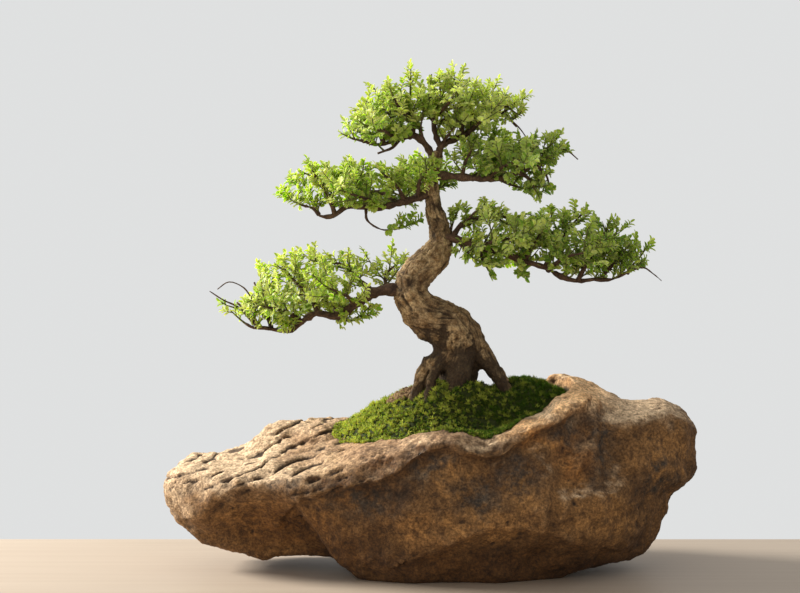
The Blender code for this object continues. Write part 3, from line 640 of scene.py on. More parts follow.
# %% Copies on points
def copying_nodes(template):
    group = bpy.data.node_groups.new("copies", "GeometryNodeTree")
    for way in ("INPUT", "OUTPUT"):
        group.interface.new_socket("Geometry", in_out=way, socket_type="NodeSocketGeometry")
    cloud = group.nodes.new("NodeGroupInput").outputs["Geometry"]
    shape = add(group, "GeometryNodeObjectInfo", {"Object": template}).outputs["Geometry"]
    turn = add(group, "GeometryNodeInputNamedAttribute", {"Name": "turn"}, data_type="FLOAT_VECTOR")
    size = add(group, "GeometryNodeInputNamedAttribute", {"Name": "size"}, data_type="FLOAT_VECTOR")
    sockets = {"Points": cloud, "Instance": shape, "Scale": size.outputs["Attribute"],
               "Rotation": turn.outputs["Attribute"]}
    copies = add(group, "GeometryNodeInstanceOnPoints", sockets).outputs["Instances"]
    real = add(group, "GeometryNodeRealizeInstances", {"Geometry": copies}).outputs["Geometry"]
    group.links.new(real, group.nodes.new("NodeGroupOutput").inputs["Geometry"])
    return group


def set_copies(name, template, places):
    """places holds (position, rotation matrix, size, tint) for each copy."""
    mesh = bpy.data.meshes.new(name)
    mesh.from_pydata([position for position, _, _, _ in places], [], [])
    turns = [tuple(matrix.to_euler()) for _, matrix, _, _ in places]
    sizes = [size for _, _, size, _ in places]
    for layer, values in (("turn", turns), ("size", sizes)):
        attribute = mesh.attributes.new(layer, "FLOAT_VECTOR", "POINT")
        attribute.data.foreach_set("vector", np.array(values, float).ravel())
    piece = new_piece(name, mesh)
    keep_at_points(piece, "tint", [tint for _, _, _, tint in places])
    piece.modifiers.new("copies", "NODES").node_group = copying_nodes(template)
    apply_modifiers(piece)
    for done in ("turn", "size"):
        if done in piece.data.attributes:
            piece.data.attributes.remove(piece.data.attributes[done])
    return piece


def facing_up(direction, up):
    """A rotation whose X runs along the direction and whose Z leans towards the up vector."""
    ahead = direction.normalized()
    side = up.cross(ahead)
    side = side.normalized() if side.length > 1e-6 else ahead.orthogonal().normalized()
    return Matrix((ahead, side, ahead.cross(side))).transposed()


print("copies ready")

# %% [markdown]
# ## One leaf
# An elm leaf is a pointed oval, folded a little along its midrib and arched down to its tip. It
# starts as a grid of four by two faces: its ends are drawn together, its sides take the oval's
# width, and a second skin under it, joined along the outline, makes it a closed blade that light
# can soak through.

# %% Leaf template
LEAF_STATIONS = (0.0, 0.17, 0.48, 0.80, 1.0)  # along the leaf, from its foot to its tip
LEAF_WIDTHS = (0.0, 0.84, 1.0, 0.80, 0.0)  # how wide it is there
LEAF_HALF_WIDTH = 0.27
BLADE_THICKNESS = 0.035


def leaf_template(name, fold, arch):
    bm = bmesh.new()
    bmesh.ops.create_grid(bm, x_segments=4, y_segments=2, size=1.0)
    for vertex in bm.verts:
        station = round((vertex.co.x + 1) * 2)
        across = vertex.co.y * LEAF_HALF_WIDTH * LEAF_WIDTHS[station]
        x = LEAF_STATIONS[station]
        vertex.co = (x, across, fold * abs(across) - arch * (x - 0.35) ** 2)
    bmesh.ops.remove_doubles(bm, verts=bm.verts, dist=1e-4)
    under = bmesh.ops.duplicate(bm, geom=bm.verts[:] + bm.edges[:] + bm.faces[:])["geom"]
    under_faces = [item for item in under if isinstance(item, bmesh.types.BMFace)]
    bmesh.ops.reverse_faces(bm, faces=under_faces)
    for vertex in (item for item in under if isinstance(item, bmesh.types.BMVert)):
        if not vertex.is_boundary:
            vertex.co.z -= BLADE_THICKNESS
    bmesh.ops.remove_doubles(bm, verts=bm.verts, dist=1e-4)
    bmesh.ops.triangulate(bm, faces=bm.faces)
    bmesh.ops.recalc_face_normals(bm, faces=bm.faces)
    made = piece_from(name, bm)
    made.data.shade_smooth()
    made.data.set_sharp_from_angle(angle=math.radians(50))
    return made


leaf = leaf_template("leaf_template", 0.45, 0.45)
print("one leaf:", len(leaf.data.vertices), "points,", triangles(leaf), "triangles")

# %% [markdown]
# ## Leaf colour
# Young leaves are yellow-green and older ones deep green, so each copy's tint picks between them.
# The tint also carries painted light: it is higher where a leaf stands in the light.
# The light stands behind the tree on the left, and a leaf lit from behind glows. Subsurface
# scattering over a fraction of a millimetre gives that glow, because the blades are closed and
# thin.

# %% Leaf material
def let_light_in(shader, amount, radius, depth, shine):
    """Lets light soak a little way in, and sets how much the surface shines."""
    for socket, value in (("Subsurface Weight", amount), ("Subsurface Radius", radius),
                          ("Subsurface Scale", depth), ("Specular IOR Level", shine)):
        shader.inputs[socket].default_value = value


def leaf_material(name, dark, middle, light):
    made, tree, shader = new_material(name, 0.42)
    where = place_on_piece(tree)
    tint = kept(tree, "tint")
    deep = colour_mix(tree, ranged(tree, tint, 0.0, 0.5), dark, middle)
    bright = colour_mix(tree, ranged(tree, tint, 0.5, 1.0), deep, light)
    flecks = ranged(tree, grain(tree, where, 500.0, 3.0, 0.6), 0.35, 0.65)
    uneven = colour_mix(tree, flecks, (0.80, 0.84, 0.80), (1.18, 1.14, 1.1))
    tree.links.new(multiplied(tree, bright, uneven), shader.inputs["Base Color"])
    let_light_in(shader, 0.55, (0.6, 1.0, 0.15), 0.0012, 0.22)
    return made


# The young colour goes on the lit sprays at the left and the grown one on the shaded right ones: in
# part the leaves' age, in part painted light and shade.
young_leaf = leaf_material("young_elm_leaf", (0.060, 0.145, 0.012), (0.23, 0.39, 0.035),
                           (0.60, 0.70, 0.16))
grown_leaf = leaf_material("grown_elm_leaf", (0.034, 0.085, 0.010), (0.135, 0.245, 0.026),
                           (0.56, 0.71, 0.15))
print("leaf materials:", young_leaf.name, grown_leaf.name)

# %% [markdown]
# ## The sprays
# A spray is a limb that leaves the trunk, with twigs, twiglets and leaves. The limbs and twigs
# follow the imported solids: each line gives the radius at its start, the radius at its tip and its
# points, in millimetres. The first line of a spray is its limb.

# %% Routes of the limbs and twigs
SPRAYS = {
    "low_left_spray": [
        (4.4, 1.3, [(-18, -6, 188), (-29, -7, 189), (-41, -8, 186), (-53, -9, 178), (-63, -10, 171),
            (-78, -9, 173), (-89, -8, 166), (-97, -7, 161), (-113, -6, 163), (-120, -5, 163),
            (-126, -4, 166)]),
        (2.3, 1.0, [(-39, -8, 187), (-50, 2, 196), (-59, 8, 205), (-74, 12, 207)]),
        (2.0, 1.0, [(-76, -9, 173), (-83, -4, 185), (-92, 0, 194), (-100, 4, 203)]),
        (2.0, 1.0, [(-62, -9, 172), (-74, 10, 181), (-90, 24, 184), (-107, 30, 183)]),
        (1.9, 1.0, [(-87, -8, 167), (-97, -22, 175), (-112, -30, 179)]),
        (1.6, 1.0, [(-117, -5, 163), (-125, -3, 174), (-132, -2, 180)]),
        (1.8, 1.0, [(-30, -4, 189), (-31, 10, 198), (-25, 16, 204)]),
        (1.6, 1.0, [(-108, -6, 163), (-115, 10, 180), (-121, 14, 193)]),
        (1.8, 1.0, [(-52, -9, 179), (-57, -24, 186), (-68, -32, 191)]),
        (1.8, 1.0, [(-68, -9, 172), (-58, 0, 168), (-47, 6, 169)]),
    ],
    "mid_left_spray": [
        (3.1, 1.3, [(-1, 0, 254), (-13, -4, 250), (-24, -6, 247), (-36, -8, 244), (-47, -8, 245),
            (-57, -8, 245), (-66, -8, 239), (-75, -8, 239), (-80, -7, 244), (-87, -6, 246)]),
        (1.9, 1.0, [(-41, -8, 244), (-48, -2, 256), (-54, 3, 267), (-55, 4, 273)]),
        (1.9, 1.0, [(-65, -8, 240), (-69, -14, 252), (-76, -17, 263), (-80, -18, 270)]),
        (2.0, 1.0, [(-22, -6, 247), (-33, 14, 254), (-49, 28, 256), (-64, 34, 260)]),
        (1.9, 1.0, [(-32, -8, 245), (-42, -24, 250), (-57, -34, 255)]),
        (1.8, 1.0, [(-18, -5, 249), (-23, -12, 259), (-32, -14, 267)]),
        (1.6, 1.0, [(-76, -8, 240), (-84, 8, 254), (-89, 14, 258)]),
        (1.0, 0.7, [(-44, -8, 244), (-43, -12, 236), (-34, -14, 230), (-25, -15, 230)]),
        (1.8, 1.0, [(-9, -3, 251), (-8, -14, 262), (-2, -20, 270)]),
        (1.6, 1.0, [(-21, -6, 248), (-17, 8, 249), (-18, 20, 258)]),
    ],
    "crown_left_spray": [
        (2.9, 1.2, [(3, 0, 275), (-3, -1, 286), (-11, -3, 293), (-22, -6, 291), (-34, -8, 287),
            (-45, -8, 289), (-53, -8, 291)]),
        (1.9, 1.0, [(-12, -3, 292), (-13, -4, 305), (-14, -4, 314), (-14, -4, 320)]),
        (1.9, 1.0, [(-18, -5, 291), (-26, 4, 304), (-32, 8, 313)]),
        (1.8, 1.0, [(-32, -8, 288), (-37, -14, 299), (-44, -18, 307)]),
        (1.8, 1.0, [(-14, -3, 292), (-24, 16, 299), (-38, 30, 302)]),
        (1.8, 1.0, [(-24, -6, 291), (-30, -22, 295), (-41, -32, 298)]),
        (1.6, 1.0, [(-45, -8, 289), (-48, 2, 297), (-50, 6, 302)]),
        (1.5, 1.0, [(-21, -6, 291), (-26, -10, 285), (-36, -12, 281)]),
        (1.6, 1.0, [(-13, -4, 304), (-21, -16, 311), (-25, -20, 318)]),
        (1.3, 0.9, [(-5, -1, 289), (-7, -7, 297), (-6, -10, 305)]),
    ],
    "crown_right_spray": [
        (2.9, 1.2, [(5, 0, 279), (7, 0, 286), (14, 1, 290), (24, 2, 294), (33, 3, 301),
            (43, 4, 306), (51, 4, 310)]),
        (2.3, 1.1, [(7, 0, 285), (3, 1, 294), (2, 2, 305), (5, 2, 315), (7, 2, 319)]),
        (1.9, 1.0, [(21, 2, 293), (21, -8, 305), (19, -12, 314)]),
        (1.9, 1.0, [(33, 3, 301), (35, 8, 312), (37, 10, 319)]),
        (1.6, 1.0, [(44, 4, 307), (48, -6, 312), (52, -9, 313)]),
        (1.5, 1.0, [(50, 4, 310), (54, 2, 304), (58, 0, 299)]),
        (1.8, 1.0, [(25, 2, 295), (30, 20, 304), (38, 32, 310)]),
        (1.8, 1.0, [(25, 2, 295), (33, -18, 302), (40, -28, 308)]),
        (1.8, 1.0, [(3, 2, 309), (0, 18, 316), (-6, 28, 321)]),
        (1.8, 1.0, [(3, 2, 306), (10, -18, 313), (14, -28, 318)]),
        (1.6, 1.0, [(3, 2, 312), (-1, -4, 318), (-1, -6, 322)]),
        (1.3, 0.9, [(7, 0, 287), (13, -7, 295), (18, -10, 302)]),
        (1.3, 0.9, [(2, 2, 301), (9, 6, 304), (17, 8, 306)]),
    ],
    "upper_right_spray": [
        (2.9, 1.2, [(2, 0, 266), (11, -4, 266), (21, -6, 265), (33, -8, 264), (45, -9, 264),
            (56, -9, 267), (67, -8, 271), (76, -6, 274)]),
        (1.8, 1.0, [(21, -6, 265), (23, -12, 275), (27, -14, 283)]),
        (1.9, 1.0, [(34, -8, 264), (40, 2, 275), (46, 6, 285)]),
        (1.9, 1.0, [(28, -6, 264), (38, 18, 271), (52, 30, 277)]),
        (1.9, 1.0, [(38, -8, 264), (46, -26, 271), (57, -34, 276)]),
        (1.8, 1.0, [(68, -8, 272), (73, -12, 281), (77, -12, 284)]),
        (1.5, 1.0, [(75, -6, 273), (81, 0, 279), (85, 2, 281)]),
        (1.5, 1.0, [(59, -9, 268), (66, -14, 264), (69, -14, 258)]),
        (1.5, 1.0, [(71, -8, 273), (78, 4, 267), (80, 6, 262)]),
        (1.6, 1.0, [(56, -9, 267), (63, 4, 278), (68, 8, 285)]),
        (1.5, 1.0, [(46, -9, 264), (54, 2, 260), (61, 6, 258)]),
    ],
    "low_right_spray": [
        (3.3, 1.3, [(7, 2, 225), (17, -3, 223), (30, -6, 219), (45, -8, 215), (61, -9, 209),
            (77, -9, 204), (88, -9, 198), (99, -9, 195), (110, -8, 196), (122, -8, 196),
            (131, -7, 200), (137, -6, 203)]),
        (2.2, 1.1, [(14, -1, 223), (21, 3, 233), (33, 4, 237), (46, 5, 238), (58, 6, 238)]),
        (1.5, 1.0, [(33, 4, 237), (39, -2, 243)]),
        (2.0, 1.0, [(77, -9, 204), (85, -2, 217), (93, 4, 229), (102, 6, 239)]),
        (1.9, 1.0, [(99, -9, 195), (107, -14, 211), (115, -16, 223), (118, -16, 230)]),
        (1.8, 1.0, [(114, -8, 196), (124, 0, 206), (134, 4, 214)]),
        (1.9, 1.0, [(47, -8, 214), (61, 16, 218), (77, 30, 222)]),
        (1.9, 1.0, [(88, -9, 198), (104, 14, 206), (118, 26, 212)]),
        (1.9, 1.0, [(32, -6, 218), (42, -24, 222), (55, -34, 225)]),
        (1.9, 1.0, [(79, -9, 202), (88, -28, 211), (101, -36, 215)]),
        (1.5, 1.0, [(32, -6, 218), (34, -10, 211), (37, -12, 205)]),
        (1.5, 1.0, [(56, -8, 211), (59, -4, 205)]),
        (1.5, 1.0, [(133, -7, 200), (138, 2, 206), (141, 4, 209)]),
        (1.8, 1.0, [(63, -9, 208), (70, -6, 220), (78, -4, 232)]),
        (1.3, 0.9, [(16, -2, 223), (22, -10, 217), (27, -14, 212)]),
        (1.3, 0.9, [(13, 0, 224), (14, 8, 231), (17, 12, 239)]),
        (1.3, 0.9, [(24, 3, 234), (27, -7, 239), (31, -11, 243)]),
        (1.3, 0.9, [(22, -4, 221), (28, 8, 217), (35, 12, 212)]),
    ],
    "back_spray": [
        (2.7, 1.2, [(1, 2, 247), (2, 20, 251), (3, 36, 256), (3, 48, 260)]),
        (1.8, 1.0, [(2, 22, 252), (-9, 34, 256), (-20, 42, 260)]),
        (1.8, 1.0, [(3, 36, 256), (14, 44, 263), (25, 50, 267)]),
        (1.6, 1.0, [(3, 40, 257), (-1, 52, 266), (-4, 58, 271)]),
    ],
}
print("twigs:", sum(len(twigs) for twigs in SPRAYS.values()))

# %% [markdown]
# ## Pruning
# A bonsai's pads get their cloud shapes from scissors. Each spray here has an outline as seen from
# the front, in millimetres to the right and up, and a shoot that would grow out of it is cut off.
# So the sky shows between the pads where the photograph shows it.

# %% Outlines of the pads
OUTLINES = {
    "low_left_spray": [
        (-144, 172), (-138, 180), (-126, 182), (-119, 188), (-115, 197), (-124, 203), (-118, 209),
        (-105, 207), (-105, 216), (-96, 218), (-87, 213), (-81, 220), (-71, 221), (-66, 211),
        (-58, 216), (-48, 218), (-39, 207), (-35, 213), (-13, 213), (-20, 201), (-31, 194),
        (-41, 192), (-44, 184), (-32, 173), (-35, 164), (-44, 169), (-54, 167), (-60, 161),
        (-67, 169), (-81, 168), (-92, 161), (-109, 159), (-126, 159), (-138, 164),
    ],
    "mid_left_spray": [
        (-105, 252), (-100, 262), (-92, 266), (-86, 275), (-77, 274), (-67, 275), (-63, 268),
        (-58, 276), (-50, 278), (-44, 272), (-35, 274), (-24, 272), (-16, 275), (-9, 279), (1, 278),
        (5, 271), (12, 264), (13, 256), (3, 259), (-2, 249), (-5, 239), (-11, 233), (-20, 226),
        (-29, 228), (-27, 236), (-20, 245), (-26, 248), (-40, 244), (-47, 240), (-55, 245),
        (-65, 249), (-77, 245), (-89, 245), (-97, 245), (-101, 249),
    ],
    "crown_left_spray": [
        (-69, 289), (-66, 295), (-58, 298), (-59, 304), (-48, 309), (-45, 316), (-48, 323),
        (-39, 327), (-32, 321), (-31, 327), (-24, 327), (-18, 321), (-13, 323), (-20, 333),
        (-18, 337), (-10, 338), (-7, 328), (-1, 323), (1, 304), (-5, 298), (-11, 294), (-14, 285),
        (-18, 279), (-25, 281), (-29, 287), (-39, 291), (-48, 291), (-55, 293), (-59, 289),
    ],
    "crown_right_spray": [
        (-11, 320), (-1, 325), (-2, 335), (13, 335), (21, 332), (35, 329), (42, 331), (48, 323),
        (57, 318), (66, 314), (70, 309), (62, 306), (52, 305), (46, 301), (35, 297), (24, 296),
        (15, 293), (9, 294), (4, 301), (-2, 306), (-10, 310),
    ],
    "upper_right_spray": [
        (10, 276), (11, 286), (19, 291), (29, 294), (37, 299), (46, 299), (54, 295), (62, 290),
        (71, 291), (77, 295), (89, 295), (92, 287), (98, 279), (88, 281), (81, 275), (82, 266),
        (82, 256), (77, 252), (74, 245), (69, 251), (65, 257), (55, 258), (48, 263), (40, 267),
        (27, 268), (17, 270), (12, 270),
    ],
    "low_right_spray": [
        (10, 240), (17, 245), (27, 241), (35, 247), (43, 249), (50, 245), (55, 239), (67, 241),
        (72, 234), (78, 244), (88, 244), (96, 240), (100, 246), (96, 250), (104, 249), (110, 241),
        (115, 236), (120, 240), (129, 234), (135, 236), (135, 232), (130, 226), (139, 221),
        (150, 218), (145, 211), (149, 207), (142, 203), (129, 198), (112, 199), (97, 200),
        (85, 203), (76, 203), (69, 198), (59, 194), (51, 198), (46, 205), (40, 195), (35, 197),
        (31, 207), (21, 211), (14, 216), (12, 225), (21, 229), (32, 227), (42, 229), (39, 234),
        (24, 234), (13, 232),
    ],
    "back_spray": [
        (-26, 271), (-14, 279), (6, 278), (18, 271), (21, 263), (14, 258), (3, 256), (-2, 240),
        (-14, 240), (-21, 249),
    ],
}


def inside(outline, x, z):
    """Whether a point lies in an outline, by counting the sides to the right of it."""
    within = False
    for (x1, z1), (x2, z2) in zip(outline, [*outline[1:], outline[0]], strict=True):
        if (z1 > z) != (z2 > z) and x < x1 + (z - z1) * (x2 - x1) / (z2 - z1):
            within = not within
    return within


def pruned(outline, shoots, missed, rng):
    """The shoots, cut back to what stays inside the outline; a few that point up are cut late."""
    found = []
    for shoot in shoots:
        grown_out = rng.random() < missed and shoot[-1].z > shoot[0].z
        for share in (1.0, 0.75, 0.55, 0.4):
            tip = shoot[0].lerp(shoot[-1], share)
            late = grown_out and share < 0.7 and inside(outline, shoot[0].x, shoot[0].z)
            if late or inside(outline, tip.x, tip.z):
                found.append([shoot[0].lerp(point, share) for point in shoot])
                break
    return found


print("outline points:", sum(len(outline) for outline in OUTLINES.values()))

# %% [markdown]
# ## How a spray grows
# Twigs are drawn as smooth curves through their points. Side shoots leave each twig all round,
# turned by the golden angle as on a real tree, and both carry fronds: short twiglets with leaves
# left and right in turn and one at the tip, spread in one plane that faces up and out of the spray.
# Under the limb there are none, so its bare wood shows there.

# %% Curves and side shoots
GOLDEN_ANGLE = math.radians(137.5)
UP = Vector((0, 0, 1))


def smooth_route(route, step=2.5):
    """Points every few millimetres on a smooth curve through the route's points."""
    points = [Vector(point) for point in route]
    ends = [2 * points[0] - points[1], *points, 2 * points[-1] - points[-2]]
    found = []
    for a, b, c, d in zip(ends, ends[1:], ends[2:], ends[3:], strict=False):
        parts = max(2, round((c - b).length / step))
        for i in range(parts):
            t = i / parts
            found.append(0.5 * (2 * b + (c - a) * t + (2 * a - 5 * b + 4 * c - d) * t**2
                                + (3 * b - a - 3 * c + d) * t**3))
    found.append(points[-1])
    return found


def length_of(path):
    return sum((after - before).length for before, after in zip(path, path[1:], strict=False))


def scatter(rng, amount):
    return Vector((rng.gauss(0, 1), rng.gauss(0, 1), rng.gauss(0, 1))) * amount


def bent_up(start, way, length):
    """A short shoot that curves up towards the light."""
    return [start + way * length * t + UP * 0.15 * length * t**2 for t in (0.0, 0.35, 0.7, 1.0)]


def shoots_round(path, bare, pitch, lengths, lowest, rng):
    """Shoots all round a twig past its bare start, and one from its tip."""
    found, travelled, due, turn = [], 0.0, bare, rng.uniform(0, 6.28)
    for before, after in zip(path, path[1:], strict=False):
        step = (after - before).length
        ahead = (after - before) / step
        side = ahead.cross(UP).normalized()
        while due <= travelled + step:
            start = before + ahead * (due - travelled)
            due += pitch * rng.uniform(0.75, 1.25)
            turn += GOLDEN_ANGLE
            out = side * math.cos(turn) + side.cross(ahead) * math.sin(turn)
            if out.z > lowest:
                way = (ahead * 0.6 + out * 0.85 + UP * 0.25).normalized()
                found.append(bent_up(start, way, rng.uniform(*lengths)))
        travelled += step
    found.append(bent_up(path[-1], (ahead + UP * 0.1).normalized(), rng.uniform(*lengths)))
    return found


print("side shoots turn by", round(math.degrees(GOLDEN_ANGLE), 1), "degrees")

# %% [markdown]
# A few fronds that point up are cut late, so that the pads keep some ragged tips. Where a slow
# noise is high the fronds are left out, which lets the sky show through a pad. Leaves are brighter
# towards the top and the left of a spray, where the light falls.

# %% Fronds and leaves
SHOOT_PITCH, SHOOT_LENGTHS = 6.0, (8.0, 19.0)
FROND_PITCH, FROND_LENGTHS = 4.4, (7.0, 13.0)
LEAF_PITCH, LEAF_LENGTHS = 1.25, (4.2, 6.1)
CUT_LATE = 0.30  # the share of the fronds
GAP_SIZE = 6.0


def leaves_on(frond, centre, brightness, rng):
    """Leaves along a frond: position in metres, turn, size and tint of each."""
    found = []
    count = round(length_of(frond) / LEAF_PITCH)
    out = (frond[-1] - centre).normalized()
    frond_face = (UP * 0.5 + out * 0.75 + scatter(rng, 0.28)).normalized()
    for number in range(count + 1):
        share = 0.12 + 0.88 * number / count
        here = min(2, int(share * 3))
        step = frond[here + 1] - frond[here]
        position = frond[here] + step * min(1.0, share * 3 - here)
        ahead = step.normalized()
        face = (frond_face + scatter(rng, 0.22)).normalized()
        side = face.cross(ahead).normalized() * (1 if number % 2 else -1)
        way = ahead if number == count else ahead * 0.65 + side * 0.85
        way = way + scatter(rng, 0.14)
        size = rng.uniform(*LEAF_LENGTHS) * (0.72 + 0.28 * math.sin(math.pi * share**0.8)) * MM
        shape = (size, size * rng.uniform(0.9, 1.15), size * rng.uniform(0.5, 1.3))
        tint = clamped(rng.gauss(brightness, 0.13))
        found.append((position * MM, facing_up(way, face), shape, tint))
    return found


def grow(twigs, outline, brightness, thickness, rng):
    """The side shoots, fronds and leaves of a spray, pruned to its outline.

    The greater the thickness, the fewer fronds are left out for the sky to show through.
    """
    everywhere = [Vector(point) for _, _, route in twigs for point in route]
    centre = sum(everywhere, Vector()) / len(everywhere) - UP * 6
    shoots, fronds, leaves = [], [], []
    for number, (_, _, route) in enumerate(twigs):
        path = smooth_route(route)
        lowest, bare = (-0.3, 0.30) if number == 0 else (-2.0, 0.18)
        bare *= length_of(path)
        new_shoots = shoots_round(path, bare, SHOOT_PITCH, SHOOT_LENGTHS, lowest, rng)
        new_shoots = pruned(outline, new_shoots, 0.0, rng)
        fronds += shoots_round(path, bare, FROND_PITCH, FROND_LENGTHS, lowest, rng)
        for shoot in new_shoots:
            fronds += shoots_round(shoot, 3.5, FROND_PITCH, FROND_LENGTHS, -2.0, rng)
        shoots += new_shoots
    fronds = pruned(outline, fronds, CUT_LATE, rng)
    layer = len(twigs) - 1
    tips = [Vector((frond[-1].x / GAP_SIZE, layer, frond[-1].z / GAP_SIZE)) for frond in fronds]
    fronds = [frond for frond, tip in zip(fronds, tips, strict=True)
              if noise.noise(tip) < thickness]
    for frond in fronds:
        # Painted light: leaves higher up and further left get a higher tint.
        light = brightness + 0.005 * (frond[-1].z - centre.z) - 0.0008 * frond[-1].x
        leaves += leaves_on(frond, centre, rng.gauss(light, 0.12), rng)
    return shoots, fronds, leaves


print("a frond every", FROND_PITCH, "mm, with a leaf every", LEAF_PITCH, "mm")

# %% [markdown]
# The wood of a spray is drawn with bevelled curves: round and knobbly on the limb, thin on the
# twiglets. A curve with filled ends gives closed tubes, and a little noise keeps them from looking
# like wire. Five bare twigs reach out past their pads.

# %% Wood of a spray
KNOBS_ON_LIMB, KNOBS_ON_TWIG = 0.16, 0.10
SHOOT_RADIUS, FROND_RADIUS = 0.75, 0.42
TWIGLET_TAPER = (1.0, 0.8, 0.62, 0.4)
YOUNG = 0.8  # how green the twiglets are
BARE_TWIGS = {
    "crown_right_twigs": [(0.7, 0.3, [(48, 2, 308), (55, 1, 303), (61, 0, 297), (65, 0, 291)])],
    "low_left_twigs": [
        (0.9, 0.35, [(-122, -4, 168), (-131, -4, 177), (-141, -5, 182), (-150, -6, 188)]),
        (0.6, 0.3, [(-120, -2, 180), (-127, -2, 190), (-137, -2, 194), (-145, -2, 189)]),
    ],
    "upper_right_twigs": [(0.8, 0.3, [(76, -6, 274), (86, -7, 284), (93, -8, 282), (99, -8, 277)])],
    "low_right_twigs": [
        (0.8, 0.3, [(131, -7, 200), (143, -7, 204), (150, -7, 200), (156, -7, 195)]),
    ],
}


def tubes(name, lines, sides):
    """Closed tubes along lines of points in millimetres, each point with its radius."""
    curve = bpy.data.curves.new(name, "CURVE")
    curve.dimensions = "3D"
    curve.bevel_depth = MM
    curve.bevel_resolution = sides // 2 - 2
    curve.use_fill_caps = True
    for line in lines:
        spline = curve.splines.new("POLY")
        spline.points.add(len(line) - 1)
        for point, (position, radius) in zip(spline.points, line, strict=True):
            point.co = (*(position * MM), 1.0)
            point.radius = radius
    drawn = new_piece(name, curve)
    mesh = bpy.data.meshes.new_from_object(evaluated(drawn))
    bpy.data.objects.remove(drawn)
    bpy.data.curves.remove(curve)
    return mesh


def with_radii(path, radii):
    return list(zip(path, radii, strict=True))


def wood_of(name, twigs, shoots, fronds, rng):
    """All the wood of a spray as one piece: its limb and twigs, then its green twiglets."""
    lines = []
    for number, (base, tip, route) in enumerate(twigs):
        path = smooth_route(route)
        knobs = KNOBS_ON_LIMB if number == 0 else KNOBS_ON_TWIG
        taper = np.linspace(base, tip * 0.6, len(path))
        radii = [radius * (1 + rng.gauss(0, knobs)) for radius in taper]
        lines.append(with_radii(path, radii))
    for base, tip, route in BARE_TWIGS.get(name, []):
        path = smooth_route(route)
        lines.append(with_radii(path, np.linspace(base, tip, len(path))))
    fine = [with_radii(line, [thick * share for share in TWIGLET_TAPER])
            for group, thick in ((shoots, SHOOT_RADIUS), (fronds, FROND_RADIUS)) for line in group]
    bm = bmesh.new()
    young = bm.verts.layers.float.new("young")
    for mesh, age in ((tubes("twigs", lines, 10), 0.0), (tubes("twiglets", fine, 4), YOUNG)):
        old_count = len(bm.verts)
        bm.from_mesh(mesh)
        for vertex in bm.verts[old_count:]:
            vertex[young] = age
        bpy.data.meshes.remove(mesh)
    bmesh.ops.remove_doubles(bm, verts=bm.verts, dist=1e-6)
    bmesh.ops.recalc_face_normals(bm, faces=bm.faces)
    piece = piece_from(name, bm)
    furrows = [noise.fractal(vertex.co / MM / 2.2, 1.0, 2.0, 2) for vertex in piece.data.vertices]
    push_out(piece, np.array(furrows) * 0.22)
    keep_at_points(piece, "furrow", furrows)
    keep_at_points(piece, "edge", np.zeros(len(furrows)))
    piece.data.shade_smooth()
    return piece


print("bare twigs:", sum(len(twigs) for twigs in BARE_TWIGS.values()))

# %% [markdown]
# The left-hand sprays stand in the light and get the younger colour, which is partly new growth and
# partly painted light, and those on the right get the deeper one, partly painted shade. Each spray's
# level of tint is partly painted light too: the crown's right pad is raised most. Each spray has its
# own seed, so that a change to one leaves the others as they are.

# %% Grow the sprays
# Tint level of each spray, in part painted light: the shaded right pad of the crown is raised most.
TINT_AND_PAINTED_LIGHT = {"low_left_spray": 0.60, "mid_left_spray": 0.52, "crown_left_spray": 0.58,
              "crown_right_spray": 1.05, "upper_right_spray": 0.65, "low_right_spray": 0.67,
              "back_spray": 0.50}
THICK_PAD, OPEN_PAD = 0.26, 0.13  # the crown's right pad has the most sky in it
FIRST_SEED = 40
leaf_count = 0
for number, (node, twigs) in enumerate(SPRAYS.items()):
    rng = random.Random(FIRST_SEED + number)
    thickness = OPEN_PAD if node == "crown_right_spray" else THICK_PAD
    shoots, fronds, leaves = grow(twigs, OUTLINES[node], TINT_AND_PAINTED_LIGHT[node], thickness, rng)
    wood = wood_of(node.replace("spray", "twigs"), twigs, shoots, fronds, rng)
    wood.data.materials.append(twig_bark)
    foliage = set_copies(node.replace("spray", "leaves"), leaf, leaves)
    # Lit left sprays take the young colour and shaded right ones the grown one, in part painted
    # light.
    on_left = "left" in node
    foliage.data.materials.append(young_leaf if on_left else grown_leaf)
    place(wood, "bark", node)
    place(foliage, "young_leaf" if on_left else "grown_leaf", node)
    leaf_count += len(leaves)
bpy.data.objects.remove(leaf)
print("leaves in all:", leaf_count)

# %% [markdown]
# ## The moss
# Moss is a carpet of tiny shoots, each a star of pointed leaves. A rolling mound lies under it,
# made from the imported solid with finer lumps, and thousands of shoots stand on the mound and creep
# over the stone's rim, where they hide the seam. A bank of it climbs the foot of the front root.

# %% Moss mound
MOUND_VOXEL = 0.0015
CUSHION = 8.0  # its width in millimetres
BANK_HEIGHT, DIP_DEPTH = 10.5, 7.0
mound = even_skin(copy_of("moss", "moss_mound"), MOUND_VOXEL, 3)


def cushion(point):
    """How high a point lies on its cushion: 1 at the crest, 0 in the gap to the next."""
    distances, _ = noise.voronoi((point + 2.5 * three_noises(point / 9)) / CUSHION)
    return min(1.0, (distances[1] - distances[0]) * 1.3)


def mound_lift(point):
    """Cushions, a bank that climbs the foot of the front root, and a dip under the right root."""
    bank = BANK_HEIGHT * math.exp(-(((point.x - 14) / 15) ** 2) - ((point.y + 27) / 12) ** 2)
    behind = clamped((point.y + 18) / 10)
    dip = DIP_DEPTH * math.exp(-(((point.x - 36) / 9) ** 2)) * behind
    return 2.6 * math.sqrt(cushion(point)) - 1.9 + 0.5 * noise.noise(point / 3) + bank - dip


push_out(mound, [mound_lift(vertex.co / MM) for vertex in mound.data.vertices])
mound.data.shade_smooth()
print("mound points:", len(mound.data.vertices))

# %% [markdown]
# One moss shoot is six thin cones: one stands up and five lean out round it. It is so small that
# three sides are enough for each.

